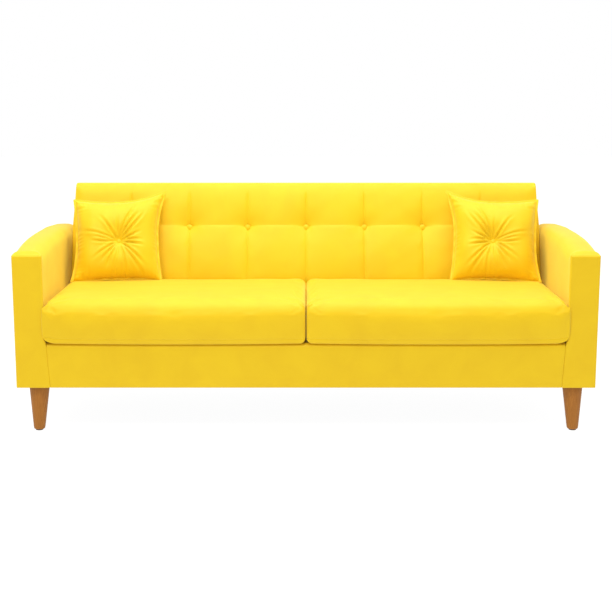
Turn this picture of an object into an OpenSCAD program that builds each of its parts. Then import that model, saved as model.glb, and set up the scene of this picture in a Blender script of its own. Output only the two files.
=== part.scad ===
// A wide two-seat sofa: upholstered box arms, two loose seat cushions, a button-tufted back,
// two throw pillows and four turned wooden legs on a timber frame.
//
// Millimetres. The origin is on the floor, under the middle of the sofa.
// +X is to the right as seen from the front, +Y points to the back, +Z is up.
// Inside the modules a "depth" is measured from the front face of the arms.

/* [Overall] */
// Width over both arms
overall_w = 2100; // [1750:10:2520]
// Depth from the arm fronts to the outside back
overall_d = 810; // [675:5:972]
// Height of the back above the floor
back_h = 845; // [780:5:1015]
// Height of the arms above the floor
arm_h = 655; // [546:5:730]

/* [Legs] */
// Height of the legs, from the floor to the leg plates
leg_h = 168; // [120:1:205]
// Diameter of a leg at its top
leg_top_d = 74; // [55:1:90]
// Diameter of a leg at the floor
leg_bottom_d = 40; // [33:1:50]
// Outward splay of the legs, in degrees
leg_splay = 2.2; // [0:0.1:4]
// Distance of a leg's top from the outside of its arm
leg_side_inset = 72; // [60:1:90]
// Distance of a leg's middle from the front or from the back
leg_end_inset = 60; // [50:1:90]
// Rounding of the foot of a leg
foot_edge_r = 5; // [2:1:6]
// Thickness of the glides under the legs
glide_t = 4; // [3:1:6]
// Diameter of the glides
glide_d = 27; // [20:1:30]
// Side of the square leg plates
plate_w = 64; // [56:1:70]
// Thickness of the leg plates
plate_t = 3; // [2:0.5:5]

/* [Arms] */
// Thickness of an arm, cover to cover
arm_w = 107; // [90:1:130]
// Rounding along the top edges of an arm
arm_edge_r = 14; // [6:1:24]
// Padding on the side of the arm that faces the seat
arm_pad_in = 18; // [12:1:24]
// Wadding on the outside of the arm
arm_pad_out = 6; // [4:1:10]
// Padding on top of the arm
arm_pad_top = 25; // [15:1:35]
// Wadding on the front of the arm
arm_pad_front = 8; // [5:1:14]
// Thickness of the boards that close the arm frame
arm_board_t = 3; // [2:0.5:5]
// Depth of the arm posts
arm_post_d = 36; // [25:1:50]
// Height of the bottom rail of an arm
arm_bottom_rail_h = 40; // [32:1:50]
// Height of the top rail of an arm
arm_top_rail_h = 28; // [20:1:40]

/* [Seat frame] */
// Height of the seat rails
seat_rail_h = 126; // [105:1:151]
// Thickness of the front and rear seat rails
seat_rail_t = 28; // [26:1:34]
// Thickness of the end rails and cross rails
end_rail_t = 25; // [18:1:32]
// Height of the cross rails
cross_rail_h = 66; // [50:1:80]
// Leg length of the corner blocks
corner_block_w = 80; // [60:1:100]
// Padding on the front rail
front_pad = 10; // [6:1:16]
// Thickness of the pad over the springs
deck_pad_t = 30; // [20:1:40]

/* [Springs] */
// Number of seat springs
spring_count = 12; // [8:2:14]
// Diameter of the spring wire
spring_wire_d = 3.8; // [3:0.1:4.5]
// Width of a spring
spring_w = 56; // [50:2:66]
// Distance between the bars of a spring
spring_pitch = 40; // [36:4:44]
// Height of a spring clip
clip_h = 6; // [5:0.5:8]

/* [Seat cushions] */
// Thickness of a seat cushion
cushion_t = 155; // [129:1:186]
// Rounding of the cushion's edges
cushion_edge_r = 28; // [10:1:36]
// Distance of the cushion fronts behind the arm fronts
cushion_front_set = 1; // [1:1:10]
// Space behind the cushions
cushion_back_gap = 6; // [5.5:0.5:10]
// Gap between the two cushions
cushion_gap = 3; // [2:0.5:6]
// Gap between a cushion and its arm
cushion_side_gap = 1; // [0.5:0.5:4]
// Width of the zip behind each cushion
zip_w = 8; // [6:1:12]
// Distance of the zip's ends from the cushion's ends
zip_end_inset = 120; // [60:5:200]

/* [Back] */
// Depth of the back at seat level, padding to outside
back_base_d = 253; // [238:1:300]
// Depth of the back at its top
back_top_d = 115; // [110:1:140]
// Depth of the back frame at its foot
back_frame_d = 205; // [190:1:215]
// Padding in front of the back frame
back_pad = 88; // [78:1:92]
// Padding on top of the back frame
back_pad_top = 45; // [35:1:55]
// Rounding along the top of the back
back_top_r = 35; // [20:1:40]
// How much narrower each side of the back is at its top
back_taper = 9; // [0:1:20]
// Distance of the frame's uprights from the arms
back_side_pad = 18; // [16:1:30]
// Thickness of the uprights
upright_t = 18; // [15:1:24]
// Thickness of the lower back rail
back_rail_t = 25; // [20:1:32]
// Height of the top back rail
back_top_rail_h = 45; // [35:1:60]
// Thickness of the top back rail
back_top_rail_t = 28; // [20:1:29]
// Thickness of the board that closes the back
back_board_t = 3; // [2:0.5:4]
// Thickness of a strap of back webbing
web_t = 1.5; // [1:0.5:2]
// Width of the back webbing
web_w = 50; // [40:1:60]

/* [Tufting] */
// Number of buttons in the back
button_count = 7; // [5:2:9]
// Height of the button row above the seat cushions
button_row_h = 192; // [160:1:230]
// Diameter of the buttons
button_d = 24; // [18:1:28]
// Thickness of the buttons
button_t = 6; // [4:1:8]
// Width of a tuft at its mouth
tuft_d = 68; // [50:1:82]
// Depth of a tuft
tuft_depth = 24; // [16:1:30]
// Diameter of the button twine
twine_d = 2; // [1.5:0.5:3]

/* [Throw pillows] */
// Side of a throw pillow
pillow_w = 350; // [292:1:420]
// Thickness of a throw pillow
pillow_t = 140; // [117:1:168]
// How far a pillow leans back, in degrees
pillow_lean = 26; // [22:1:32]
// How far a pillow turns to the middle, in degrees
pillow_yaw = 8; // [0:1:12]
// Gap between a pillow and its arm
pillow_arm_gap = 27; // [27:1:60]
// Gap between the middle of a pillow and the back
pillow_back_gap = 17; // [12:1:30]
// Width of the dimple round a pillow's button
dimple_d = 60; // [40:1:80]
// Depth of that dimple
dimple_depth = 20; // [10:1:26]
// Diameter of a pillow button
pillow_button_d = 20; // [16:1:26]
// Thickness of a pillow button
pillow_button_t = 5; // [4:1:7]

/* [Fabric and fixings] */
// Thickness of the upholstery fabric
fabric_t = 2; // [1.5:0.5:3]
// Thickness of the dust cover under the sofa
dust_t = 1; // [0.5:0.5:2]
// Width of the fabric turned under the frame
turn_under = 30; // [20:1:34]
// Distance between the staples of the dust cover
staple_pitch = 120; // [80:5:200]
// Diameter of the frame bolts
bolt_d = 8; // [6:1:10]
// Length of a frame bolt inside the arm rail
bolt_grip = 30; // [20:1:40]
// Diameter of the leg studs
stud_d = 8; // [6:1:10]
// Length of a leg stud on each side of its plate
stud_grip = 32; // [25:1:36]
// Diameter of the plate screws
screw_d = 4; // [3:0.5:5]
// Length of the plate screws
screw_l = 28; // [20:1:32]

/* [Hidden] */

$fn = 32;
left = -1;
right = 1;
front = 0;
rear = 1;

// Clearances
soft_gap = 0.5;  // between pieces that lift off and what they rest on
hole_clear = 0.2;  // round a bolt, screw or stud, on its radius
cut = 5;  // how far a cutting shape runs past what it cuts
button_clear = 1;  // round a button, on its radius
zip_clear = 0.1;  // round the zip, in the slot of its cover

// Heights
leg_top_z = leg_h;
dust_z = leg_top_z + plate_t;
cover_z = dust_z + dust_t;
frame_z = cover_z + fabric_t;
seat_rail_top = frame_z + seat_rail_h;
deck_z = seat_rail_top + clip_h + deck_pad_t;
cushion_z = deck_z + soft_gap;
seat_z = cushion_z + cushion_t;
arm_rail_top = frame_z + arm_bottom_rail_h;
arm_frame_top = arm_h - fabric_t - arm_pad_top;
bolt_z = frame_z + arm_bottom_rail_h / 2;

// Widths, from the middle of the sofa
half_w = overall_w / 2;
arm_x = half_w - arm_w;
end_rail_x = arm_x - end_rail_t;
cross_rail_x = arm_x / 3;
back_frame_x = arm_x - back_side_pad;
upright_x = back_frame_x - upright_t;
leg_x = half_w - leg_side_inset;

// Depths, from the arm fronts
front_rail_d = fabric_t + front_pad;
front_rail_rear_d = front_rail_d + seat_rail_t;
seat_rear_d = overall_d - back_frame_d;
rear_rail_d = seat_rear_d - seat_rail_t;
back_d = overall_d - back_base_d;
back_cover_d = overall_d - fabric_t;
back_frame_rear_d = back_cover_d - back_board_t;
cushion_d0 = cushion_front_set;
cushion_d1 = back_d - cushion_back_gap;
leg_depths = [leg_end_inset, overall_d - leg_end_inset];

// The back leans above this height
kink_below_seat = 16;
kink_z = seat_z - kink_below_seat;
back_lean = atan((back_base_d - back_top_d) / (back_h - kink_z));
foot_above_clips = 4;
back_foot_z = seat_rail_top + clip_h + foot_above_clips;
back_frame_top = back_h - back_pad_top;
pad_kink_d = back_d + (fabric_t + back_pad) / cos(back_lean);
pad_top_d = pad_kink_d + (back_frame_top - kink_z) * tan(back_lean);
button_z = seat_z + button_row_h;
button_pitch = 2 * arm_x / (button_count + 1);

// Helpers

// Points of an arc in degrees
function arc(x, y, r, a0, a1, n = 6) =
  [for (i = [0:n]) let (a = a0 + (a1 - a0) * i / n) [x + r * cos(a), y + r * sin(a)]];

// Rectangle whose lower corners are rounded by r_low and upper corners by r_top
function rounded_outline(x0, x1, y0, y1, r_low, r_top) = concat(
  arc(x1 - r_low, y0 + r_low, r_low, -90, 0),
  arc(x1 - r_top, y1 - r_top, r_top, 0, 90),
  arc(x0 + r_top, y1 - r_top, r_top, 90, 180),
  arc(x0 + r_low, y0 + r_low, r_low, 180, 270)
);

// Depth of the slanted face of the back at height z
function back_face_d(z) = back_d + (z - kink_z) * tan(back_lean);

// Moves a shape drawn in depths to its place about the middle of the sofa
module from_front() {
  translate([0, -overall_d / 2, 0]) children();
}

// Shapes are drawn for the right side and mirrored for the left
module on_side(side) {
  mirror([side < 0 ? 1 : 0, 0, 0]) children();
}

module box(x, d, z) {
  translate([x[0], d[0], z[0]]) cube([x[1] - x[0], d[1] - d[0], z[1] - z[0]]);
}

// Extrudes an (x, z) drawing from depth d0 to depth d1
module along_depth(d0, d1) {
  translate([0, d1, 0]) rotate([90, 0, 0]) linear_extrude(d1 - d0) children();
}

// Extrudes a (depth, z) drawing from x0 to x1
module along_width(x0, x1) {
  translate([x0, 0, 0]) rotate([90, 0, 90]) linear_extrude(x1 - x0) children();
}

// Places children at every leg of one side, with the leg's axis as local Z
module at_leg(side, end) {
  from_front() on_side(side) translate([leg_x, leg_depths[end], leg_top_z])
    rotate([0, -leg_splay, 0]) children();
}

module at_plate(side, end) {
  from_front() on_side(side) translate([leg_x, leg_depths[end], leg_top_z]) children();
}

module at_each_plate() {
  for (side = [left, right]) for (end = [front, rear]) at_plate(side, end) children();
}

module at_each_leg() {
  for (side = [left, right]) for (end = [front, rear]) at_leg(side, end) children();
}

// Fixings, drawn with a clearance so that the same shape cuts its own hole

module leg_stud(clear = 0) {
  translate([0, 0, -stud_grip - clear])
    cylinder(h = 2 * stud_grip + 2 * clear, d = stud_d + 2 * clear);
}

module plate_screws(clear = 0) {
  from_edge = 2.2 * screw_d;
  reach = plate_w / 2 - from_edge;
  for (x = [-reach, reach]) for (y = [-reach, reach]) translate([x, y, 0]) {
    cylinder(h = plate_t, d1 = 2 * screw_d + 2 * clear, d2 = screw_d + 2 * clear);
    cylinder(h = screw_l + clear, d = screw_d + 2 * clear);
  }
}

// Bolts from the seat box and the back frame into the arm on one side
bolt_past_rail = 95;  // from a seat rail to the nearest bolt of the end rail
bolt_past_lower_rail = 15;  // from the lower back rail to the first back bolt
bolt_before_plate = 20;  // from the last back bolt to the rear leg plate
end_bolt_depths = [
  front_rail_rear_d + bolt_past_rail,
  (front_rail_rear_d + rear_rail_d) / 2,
  rear_rail_d - bolt_past_rail
];
first_back_bolt_d = seat_rear_d + back_rail_t + bolt_past_lower_rail;
back_bolt_depths = [
  first_back_bolt_d,
  max(first_back_bolt_d + 3 * bolt_d, overall_d - leg_end_inset - plate_w / 2 - bolt_before_plate)
];

module bolt(length, clear = 0) {
  head_d = 1.7 * bolt_d;
  head_t = 0.6 * bolt_d;
  cylinder(h = length + clear, d = bolt_d + 2 * clear);
  translate([0, 0, -head_t]) cylinder(h = head_t, d = head_d);
}

module arm_bolts(side, clear = 0) {
  tip_x = arm_x + fabric_t + bolt_grip;
  from_front() on_side(side) {
    for (d = end_bolt_depths)
      translate([end_rail_x, d, bolt_z]) rotate([0, 90, 0]) bolt(tip_x - end_rail_x, clear);
    for (d = back_bolt_depths)
      translate([upright_x, d, bolt_z]) rotate([0, 90, 0]) bolt(tip_x - upright_x, clear);
  }
}

module back_bolts(clear = 0) {
  wood_past_tip = 10;
  length = back_rail_t + seat_rail_t - wood_past_tip;
  from_front() for (x = [-0.66, -0.22, 0.22, 0.66] * arm_x)
    translate([x, seat_rear_d + back_rail_t, frame_z + seat_rail_h / 2])
      rotate([90, 0, 0]) bolt(length, clear);
}

// Seat frame

module seat_front_rail() {
  color("burlywood") from_front()
    box([-arm_x, arm_x], [front_rail_d, front_rail_rear_d], [frame_z, seat_rail_top]);
}

module seat_rear_rail() {
  color("burlywood") difference() {
    from_front() box([-arm_x, arm_x], [rear_rail_d, seat_rear_d], [frame_z, seat_rail_top]);
    back_bolts(hole_clear);
  }
}

module seat_end_rail(side) {
  color("burlywood") difference() {
    from_front() on_side(side) box([end_rail_x, arm_x], [front_rail_rear_d, rear_rail_d],
      [frame_z, seat_rail_top]);
    arm_bolts(side, hole_clear);
  }
}

module seat_cross_rails() {
  color("burlywood") from_front() for (x = [-cross_rail_x, cross_rail_x])
    box([x - end_rail_t / 2, x + end_rail_t / 2], [front_rail_rear_d, rear_rail_d],
      [frame_z, frame_z + cross_rail_h]);
}

// Glued triangles in the seat box, and the packing pieces between the back and the arms
module corner_blocks() {
  block_z = bolt_z + bolt_d * 1.5;
  block_h = seat_rail_h / 2;
  past_bolt = 30;  // how far the packing runs past its bolts
  color("peru") {
    from_front() for (side = [left, right]) on_side(side) {
      translate([end_rail_x, front_rail_rear_d, block_z]) linear_extrude(block_h)
        polygon([[0, 0], [-corner_block_w, 0], [0, corner_block_w]]);
      translate([end_rail_x, rear_rail_d, block_z]) linear_extrude(block_h)
        polygon([[0, 0], [0, -corner_block_w], [-corner_block_w, 0]]);
    }
    for (side = [left, right]) difference() {
      from_front() on_side(side) box([back_frame_x, arm_x],
        [back_bolt_depths[0] - past_bolt, back_bolt_depths[1] + past_bolt],
        [frame_z, seat_rail_top]);
      arm_bolts(side, hole_clear);
    }
  }
}

// Springs

clip_w = 12;
clip_d = 18;  // how far a clip reaches onto its rail
spring_span = rear_rail_d - front_rail_rear_d + clip_d;
spring_turns = floor(spring_span / spring_pitch);
spring_d0 = (front_rail_rear_d + rear_rail_d - spring_turns * spring_pitch) / 2;
spring_d1 = spring_d0 + spring_turns * spring_pitch;
spring_z = seat_rail_top + clip_h / 2;
spring_xs = [for (i = [0:spring_count - 1]) (2 * i + 1 - spring_count) * arm_x / spring_count];

// A zig-zag wire of straight bars and half turns
module sinuous_spring() {
  turn_r = spring_pitch / 2;
  bar_x = spring_w / 2 - turn_r;
  for (i = [0:spring_turns]) translate([-bar_x, i * spring_pitch, 0]) rotate([0, 90, 0])
    cylinder(h = 2 * bar_x, d = spring_wire_d);
  for (i = [0:spring_turns - 1]) translate([0, (i + 0.5) * spring_pitch, 0])
    mirror([i % 2, 0, 0]) translate([bar_x, 0, 0]) rotate([0, 0, -90])
      rotate_extrude(angle = 180) translate([turn_r, 0]) circle(d = spring_wire_d);
}

module seat_springs() {
  color("silver") from_front() for (x = spring_xs)
    translate([x, spring_d0, spring_z]) sinuous_spring();
}

// Each clip reaches from its rail round the end bar of its spring
module spring_clips() {
  past_bar = spring_wire_d;
  color("dimgray") from_front() for (x = spring_xs) {
    difference() {
      box([x - clip_w / 2, x + clip_w / 2], [front_rail_rear_d - clip_d, spring_d0 + past_bar],
        [seat_rail_top, seat_rail_top + clip_h]);
      translate([x - clip_w, spring_d0, spring_z]) rotate([0, 90, 0])
        cylinder(h = 2 * clip_w, d = spring_wire_d + 2 * hole_clear);
    }
    difference() {
      box([x - clip_w / 2, x + clip_w / 2], [spring_d1 - past_bar, rear_rail_d + clip_d],
        [seat_rail_top, seat_rail_top + clip_h]);
      translate([x - clip_w, spring_d1, spring_z]) rotate([0, 90, 0])
        cylinder(h = 2 * clip_w, d = spring_wire_d + 2 * hole_clear);
    }
  }
}

front_lip = 7;  // how far the rail's padding and cover reach over the rail
front_lip_d = front_rail_d + front_lip;

module seat_deck_pad() {
  color("linen") from_front()
    box([-arm_x, arm_x], [front_lip_d, back_d], [deck_z - deck_pad_t, deck_z]);
}

// Front rail padding and cover

module front_rail_foam() {
  color("wheat") from_front() {
    box([-arm_x, arm_x], [fabric_t, front_rail_d], [frame_z, deck_z - fabric_t]);
    box([-arm_x, arm_x], [front_rail_d - 1, front_lip_d], [seat_rail_top, deck_z - fabric_t]);
  }
}

module front_rail_cover() {
  color("gold") from_front() {
    box([-arm_x, arm_x], [0, fabric_t], [cover_z, deck_z]);
    box([-arm_x, arm_x], [0, front_lip_d], [deck_z - fabric_t, deck_z]);
    box([-arm_x, arm_x], [0, turn_under], [cover_z, frame_z]);
  }
}

// Arms

// The arm's block, smaller than the finished arm by inset all round
module arm_block(inset) {
  r = arm_edge_r - inset;
  along_depth(inset, overall_d - inset) polygon(concat(
    [[arm_x + inset, cover_z + inset], [half_w - inset, cover_z + inset]],
    arc(half_w - arm_edge_r, arm_h - arm_edge_r, r, 0, 90),
    arc(arm_x + arm_edge_r, arm_h - arm_edge_r, r, 90, 180)
  ));
}

arm_rail_x = [arm_x + fabric_t, half_w - fabric_t - arm_pad_out];
arm_frame_x = [arm_rail_x[0] + arm_pad_in, arm_rail_x[1]];
arm_post_x = [arm_frame_x[0] + arm_board_t, arm_frame_x[1] - arm_board_t];
arm_frame_d = [fabric_t + arm_pad_front, back_cover_d];

module arm_front_post(side) {
  color("burlywood") from_front() on_side(side) box(arm_post_x,
    [arm_frame_d[0], arm_frame_d[0] + arm_post_d],
    [arm_rail_top, arm_frame_top - arm_top_rail_h]);
}

module arm_rear_post(side) {
  color("burlywood") from_front() on_side(side) box(arm_post_x,
    [arm_frame_d[1] - arm_post_d, arm_frame_d[1]],
    [arm_rail_top, arm_frame_top - arm_top_rail_h]);
}

module arm_rails(side) {
  color("burlywood") {
    difference() {
      from_front() on_side(side) box(arm_rail_x, arm_frame_d, [frame_z, arm_rail_top]);
      arm_bolts(side, hole_clear);
      for (end = [front, rear]) {
        at_plate(side, end) plate_screws(hole_clear);
        at_leg(side, end) leg_stud(hole_clear);
      }
    }
    from_front() on_side(side) box(arm_post_x, arm_frame_d,
      [arm_frame_top - arm_top_rail_h, arm_frame_top]);
  }
}

module arm_side_boards(side) {
  color("tan") from_front() on_side(side) {
    box([arm_frame_x[0], arm_post_x[0]], arm_frame_d, [arm_rail_top, arm_frame_top]);
    box([arm_post_x[1], arm_frame_x[1]], arm_frame_d, [arm_rail_top, arm_frame_top]);
  }
}

module arm_foam(side) {
  past_rear = [arm_frame_d[0], overall_d + cut];
  color("wheat") from_front() on_side(side) difference() {
    arm_block(fabric_t);
    box(arm_frame_x, past_rear, [arm_rail_top - cut, arm_frame_top]);
    box([arm_rail_x[0] - cut, arm_rail_x[1]], past_rear, [frame_z - cut, arm_rail_top]);
  }
}

// A fabric box, open under the arm between the turned-under edges
module arm_cover(side) {
  color("gold") difference() {
    from_front() on_side(side) difference() {
      arm_block(0);
      arm_block(fabric_t);
      box([arm_x + turn_under, half_w - turn_under], [turn_under, overall_d - turn_under],
        [cover_z - cut, frame_z + fabric_t]);
    }
    arm_bolts(side, hole_clear);
    for (end = [front, rear]) {
      at_plate(side, end) plate_screws(hole_clear);
      at_leg(side, end) leg_stud(hole_clear);
    }
  }
}

// Back frame

back_frame_front = [
  [seat_rear_d, frame_z], [seat_rear_d, seat_rail_top],
  [pad_kink_d, kink_z], [pad_top_d, back_frame_top]
];

module upright_outline() {
  polygon(concat(back_frame_front,
    [[back_frame_rear_d, back_frame_top], [back_frame_rear_d, frame_z]]));
}

module back_rails_space() {
  from_front() {
    box([-upright_x, upright_x], [seat_rear_d - cut, seat_rear_d + back_rail_t],
      [frame_z - cut, seat_rail_top]);
    box([-upright_x, upright_x], [back_frame_rear_d - back_top_rail_t, overall_d],
      [back_frame_top - back_top_rail_h, back_frame_top + cut]);
  }
}

module back_upright(side) {
  color("burlywood") difference() {
    from_front() on_side(side) along_width(upright_x, back_frame_x) upright_outline();
    arm_bolts(side, hole_clear);
  }
}

module back_centre_uprights() {
  color("burlywood") difference() {
    from_front() for (x = [-cross_rail_x, cross_rail_x])
      along_width(x - upright_t / 2, x + upright_t / 2) upright_outline();
    back_rails_space();
  }
}

module back_top_rail() {
  color("burlywood") from_front() box([-upright_x, upright_x],
    [back_frame_rear_d - back_top_rail_t, back_frame_rear_d],
    [back_frame_top - back_top_rail_h, back_frame_top]);
}

module back_lower_rail() {
  color("burlywood") difference() {
    from_front() box([-upright_x, upright_x], [seat_rear_d, seat_rear_d + back_rail_t],
      [frame_z, seat_rail_top]);
    back_bolts(hole_clear);
  }
}

// Places children at each button of the back, with local Z pointing out of the padding
module at_buttons() {
  from_front() for (i = [1:button_count])
    translate([-arm_x + i * button_pitch, back_face_d(button_z), button_z])
      rotate([90 - back_lean, 0, 0]) children();
}

twine_past_pad = 8;  // the knot ties this far behind the padding
twine_l = fabric_t + back_pad + twine_past_pad - tuft_depth;

module twine_holes() {
  at_buttons() translate([0, 0, -tuft_depth - twine_l - cut])
    cylinder(h = twine_l + cut + fabric_t, d = twine_d + 2 * hole_clear);
}

// One strap behind each button and one along the button row
module back_webbing() {
  row_z = [button_z - web_w / 2, button_z + web_w / 2];
  function strap_d(z) = pad_kink_d + (z - kink_z) * tan(back_lean) - web_t;
  knee = back_frame_front[1];
  color("darkkhaki") difference() {
    from_front() {
      for (i = [1:button_count]) {
        x = -arm_x + i * button_pitch;
        along_width(x - web_w / 2, x + web_w / 2) polygon([
          knee, [pad_kink_d, kink_z], [pad_top_d, back_frame_top],
          [pad_top_d - web_t, back_frame_top], [pad_kink_d - web_t, kink_z],
          knee - [web_t, 0]
        ]);
      }
      along_width(-back_frame_x, back_frame_x) polygon([
        [strap_d(row_z[0]), row_z[0]], [strap_d(row_z[1]), row_z[1]],
        [strap_d(row_z[1]) - web_t, row_z[1]], [strap_d(row_z[0]) - web_t, row_z[0]]
      ]);
    }
    twine_holes();
  }
}

// The padded back as a solid, smaller by inset on its front, top and sides
module back_block(inset, low_z, rear_d) {
  corner_z = back_h - back_top_r;
  corner_d = back_face_d(corner_z) + back_top_r / cos(back_lean);
  side_x = arm_x - inset;
  top_x = side_x - back_taper;
  intersection() {
    along_width(-arm_x, arm_x) polygon(concat(
      [[rear_d, low_z], [back_d + inset, low_z]],
      [[back_d + inset, kink_z - inset * tan(back_lean / 2)]],
      arc(corner_d, corner_z, back_top_r - inset, 180 - back_lean, 90),
      [[rear_d, back_h - inset]]
    ));
    along_depth(0, rear_d + cut) polygon([
      [-side_x, low_z], [side_x, low_z], [side_x, arm_h],
      [top_x, back_h], [-top_x, back_h], [-side_x, arm_h]
    ]);
  }
}

module tufts(inset) {
  mouth_slope = ((tuft_d - button_d) / 2 - button_clear) / tuft_depth;
  bottom_r = button_d / 2 + button_clear + inset;
  h = tuft_depth + inset + cut;
  at_buttons() translate([0, 0, -tuft_depth - inset])
    cylinder(h = h, r1 = bottom_r, r2 = bottom_r + mouth_slope * h);
}

module back_foam() {
  web = 2 * web_t + hole_clear;
  color("wheat") difference() {
    from_front() difference() {
      back_block(fabric_t, back_foot_z + fabric_t, back_cover_d);
      along_width(-back_frame_x, back_frame_x) polygon([
        [seat_rear_d - web, back_foot_z - cut], [seat_rear_d - web, seat_rail_top],
        [pad_kink_d - web, kink_z], [pad_top_d - web, back_frame_top],
        [overall_d, back_frame_top], [overall_d, back_foot_z - cut]
      ]);
    }
    tufts(fabric_t);
    twine_holes();
  }
}

// Fabric over the front, the top and both sides of the back, lining each tuft
module inside_back_cover() {
  color("gold") difference() {
    from_front() back_block(0, back_foot_z, back_cover_d);
    difference() {
      from_front() back_block(fabric_t, back_foot_z - cut, overall_d + cut);
      tufts(fabric_t);
    }
    tufts(0);
    twine_holes();
  }
}

module back_buttons() {
  color("goldenrod") at_buttons() translate([0, 0, -tuft_depth])
    cylinder(h = button_t, d = button_d);
}

// Twine with a knot behind the webbing
module button_twines() {
  knot_d = 3 * twine_d;
  color("ivory") at_buttons() {
    translate([0, 0, -tuft_depth - twine_l]) cylinder(h = twine_l, d = twine_d);
    translate([0, 0, -tuft_depth - twine_l]) sphere(d = knot_d);
  }
}

module outside_back_board() {
  color("tan") from_front() box([-back_frame_x, back_frame_x],
    [back_frame_rear_d, back_cover_d], [frame_z, back_frame_top]);
}

module outside_back_cover() {
  top_x = arm_x - back_taper;
  color("gold") from_front() {
    along_depth(back_cover_d, overall_d) polygon([
      [-arm_x, cover_z], [arm_x, cover_z], [arm_x, arm_h],
      [top_x, back_h], [-top_x, back_h], [-arm_x, arm_h]
    ]);
    box([-arm_x, arm_x], [overall_d - turn_under, overall_d], [cover_z, frame_z]);
  }
}

// Underside

dust_inset = 14;

module dust_cover() {
  color("dimgray") difference() {
    from_front() box([dust_inset - half_w, half_w - dust_inset],
      [dust_inset, overall_d - dust_inset], [dust_z, dust_z + dust_t]);
    at_each_plate() plate_screws(hole_clear);
    at_each_leg() leg_stud(hole_clear);
  }
}

// The crowns of the staples, along all four edges and clear of the leg plates
module staples() {
  crown = [10, 1.2, 0.8];
  from_hem = 8;
  edge = dust_inset + from_hem;
  long_run = overall_w - 2 * (leg_side_inset + plate_w);
  short_run = overall_d - 2 * (leg_end_inset + plate_w);
  long_count = floor(long_run / staple_pitch);
  short_count = floor(short_run / staple_pitch);
  color("silver") from_front() {
    for (i = [0:long_count]) for (d = [edge, overall_d - edge])
      translate([(i - long_count / 2) * staple_pitch, d, dust_z - crown[2] / 2])
        cube(crown, center = true);
    for (i = [0:short_count]) for (x = [edge - half_w, half_w - edge])
      translate([x, overall_d / 2 + (i - short_count / 2) * staple_pitch, dust_z - crown[2] / 2])
        rotate([0, 0, 90]) cube(crown, center = true);
  }
}

// Legs

foot_x = leg_x + leg_top_z * tan(leg_splay);

module at_foot(side, end) {
  from_front() on_side(side) translate([foot_x, leg_depths[end], 0]) children();
}

module glide_pin(clear = 0) {
  pin_d = 3;
  into_leg = 18;
  cylinder(h = glide_t + into_leg + clear, d = pin_d + 2 * clear);
}

// A turned cone with a rounded foot, cut level at the plate and at the glide
module leg(side, end) {
  past_glide = 1;  // the cone runs past both level cuts
  extra = 3;
  length = (leg_top_z - glide_t) / cos(leg_splay) + past_glide;
  top_r = leg_top_d / 2;
  foot_r = leg_bottom_d / 2;
  color("saddlebrown") difference() {
    intersection() {
      at_leg(side, end) rotate_extrude($fn = 64) polygon(concat(
        [[0, extra], [0, -length], [foot_r - foot_edge_r, -length]],
        arc(foot_r - foot_edge_r, foot_edge_r - length, foot_edge_r, -90, 0),
        [[top_r, 0], [top_r, extra]]
      ));
      from_front() on_side(side) box([0, overall_w], [-cut, overall_d + cut],
        [glide_t, leg_top_z]);
    }
    at_leg(side, end) leg_stud(hole_clear);
    at_foot(side, end) glide_pin(hole_clear);
  }
}

module leg_studs() {
  color("silver") at_each_leg() leg_stud();
}

module leg_plates() {
  color("gray") difference() {
    at_each_plate() translate([-plate_w / 2, -plate_w / 2, 0]) cube([plate_w, plate_w, plate_t]);
    at_each_plate() plate_screws(hole_clear);
    at_each_leg() leg_stud(hole_clear);
  }
}

module leg_plate_screws() {
  color("silver") at_each_plate() plate_screws();
}

module leg_glides() {
  color("black") for (side = [left, right]) for (end = [front, rear]) at_foot(side, end) {
    cylinder(h = glide_t, d = glide_d);
    glide_pin();
  }
}

module frame_bolts() {
  color("silver") {
    for (side = [left, right]) arm_bolts(side);
    back_bolts();
  }
}

// Seat cushions

cushion_x = [cushion_gap / 2, arm_x - cushion_side_gap];
zip_x = [cushion_x[0] + zip_end_inset, cushion_x[1] - zip_end_inset];
zip_z = cushion_z + cushion_t / 2;
zip_t = 1.2;

module cushion_block(inset) {
  r = cushion_edge_r - inset;
  low = cushion_z + inset;
  high = seat_z - inset;
  intersection() {
    along_width(cushion_x[0] + inset, cushion_x[1] - inset)
      polygon(rounded_outline(cushion_d0 + inset, cushion_d1 - inset, low, high, r / 2, r));
    along_depth(0, overall_d)
      polygon(rounded_outline(cushion_x[0] + inset, cushion_x[1] - inset, low, high, r / 2, r));
  }
}

module zip_space(clear = 0) {
  box([zip_x[0] - clear, zip_x[1] + clear], [cushion_d1 - fabric_t - clear, cushion_d1 + clear],
    [zip_z - zip_w / 2, zip_z + zip_w / 2]);
}

module cushion_cover(side) {
  color("gold") from_front() on_side(side) difference() {
    cushion_block(0);
    cushion_block(fabric_t);
    zip_space(zip_clear);
  }
}

module cushion_foam(side) {
  color("wheat") from_front() on_side(side) cushion_block(fabric_t);
}

module cushion_zip(side) {
  mid_d = cushion_d1 - fabric_t / 2;
  color("goldenrod") from_front() on_side(side) box(zip_x,
    [mid_d - zip_t / 2, mid_d + zip_t / 2], [zip_z - zip_w / 2, zip_z + zip_w / 2]);
}

// The slider sits behind the zip, in the gap before the back
module cushion_zip_pull(side) {
  slider = [10, 2, 7];
  tab = [6, 1.2, 18];
  tab_lap = 0.1;  // the tab reaches this far into the slider
  tab_rise = 2;  // and this far above its middle
  slider_d = cushion_d1 + soft_gap;
  color("silver") from_front() on_side(side) {
    translate([zip_x[0] + slider[0], slider_d + slider[1] / 2, zip_z])
      cube(slider, center = true);
    translate([zip_x[0] + slider[0], slider_d + slider[1] + tab[1] / 2 - tab_lap,
      zip_z - tab[2] / 2 + tab_rise]) cube(tab + [0, tab_lap, 0], center = true);
  }
}

// Throw pillows

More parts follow.
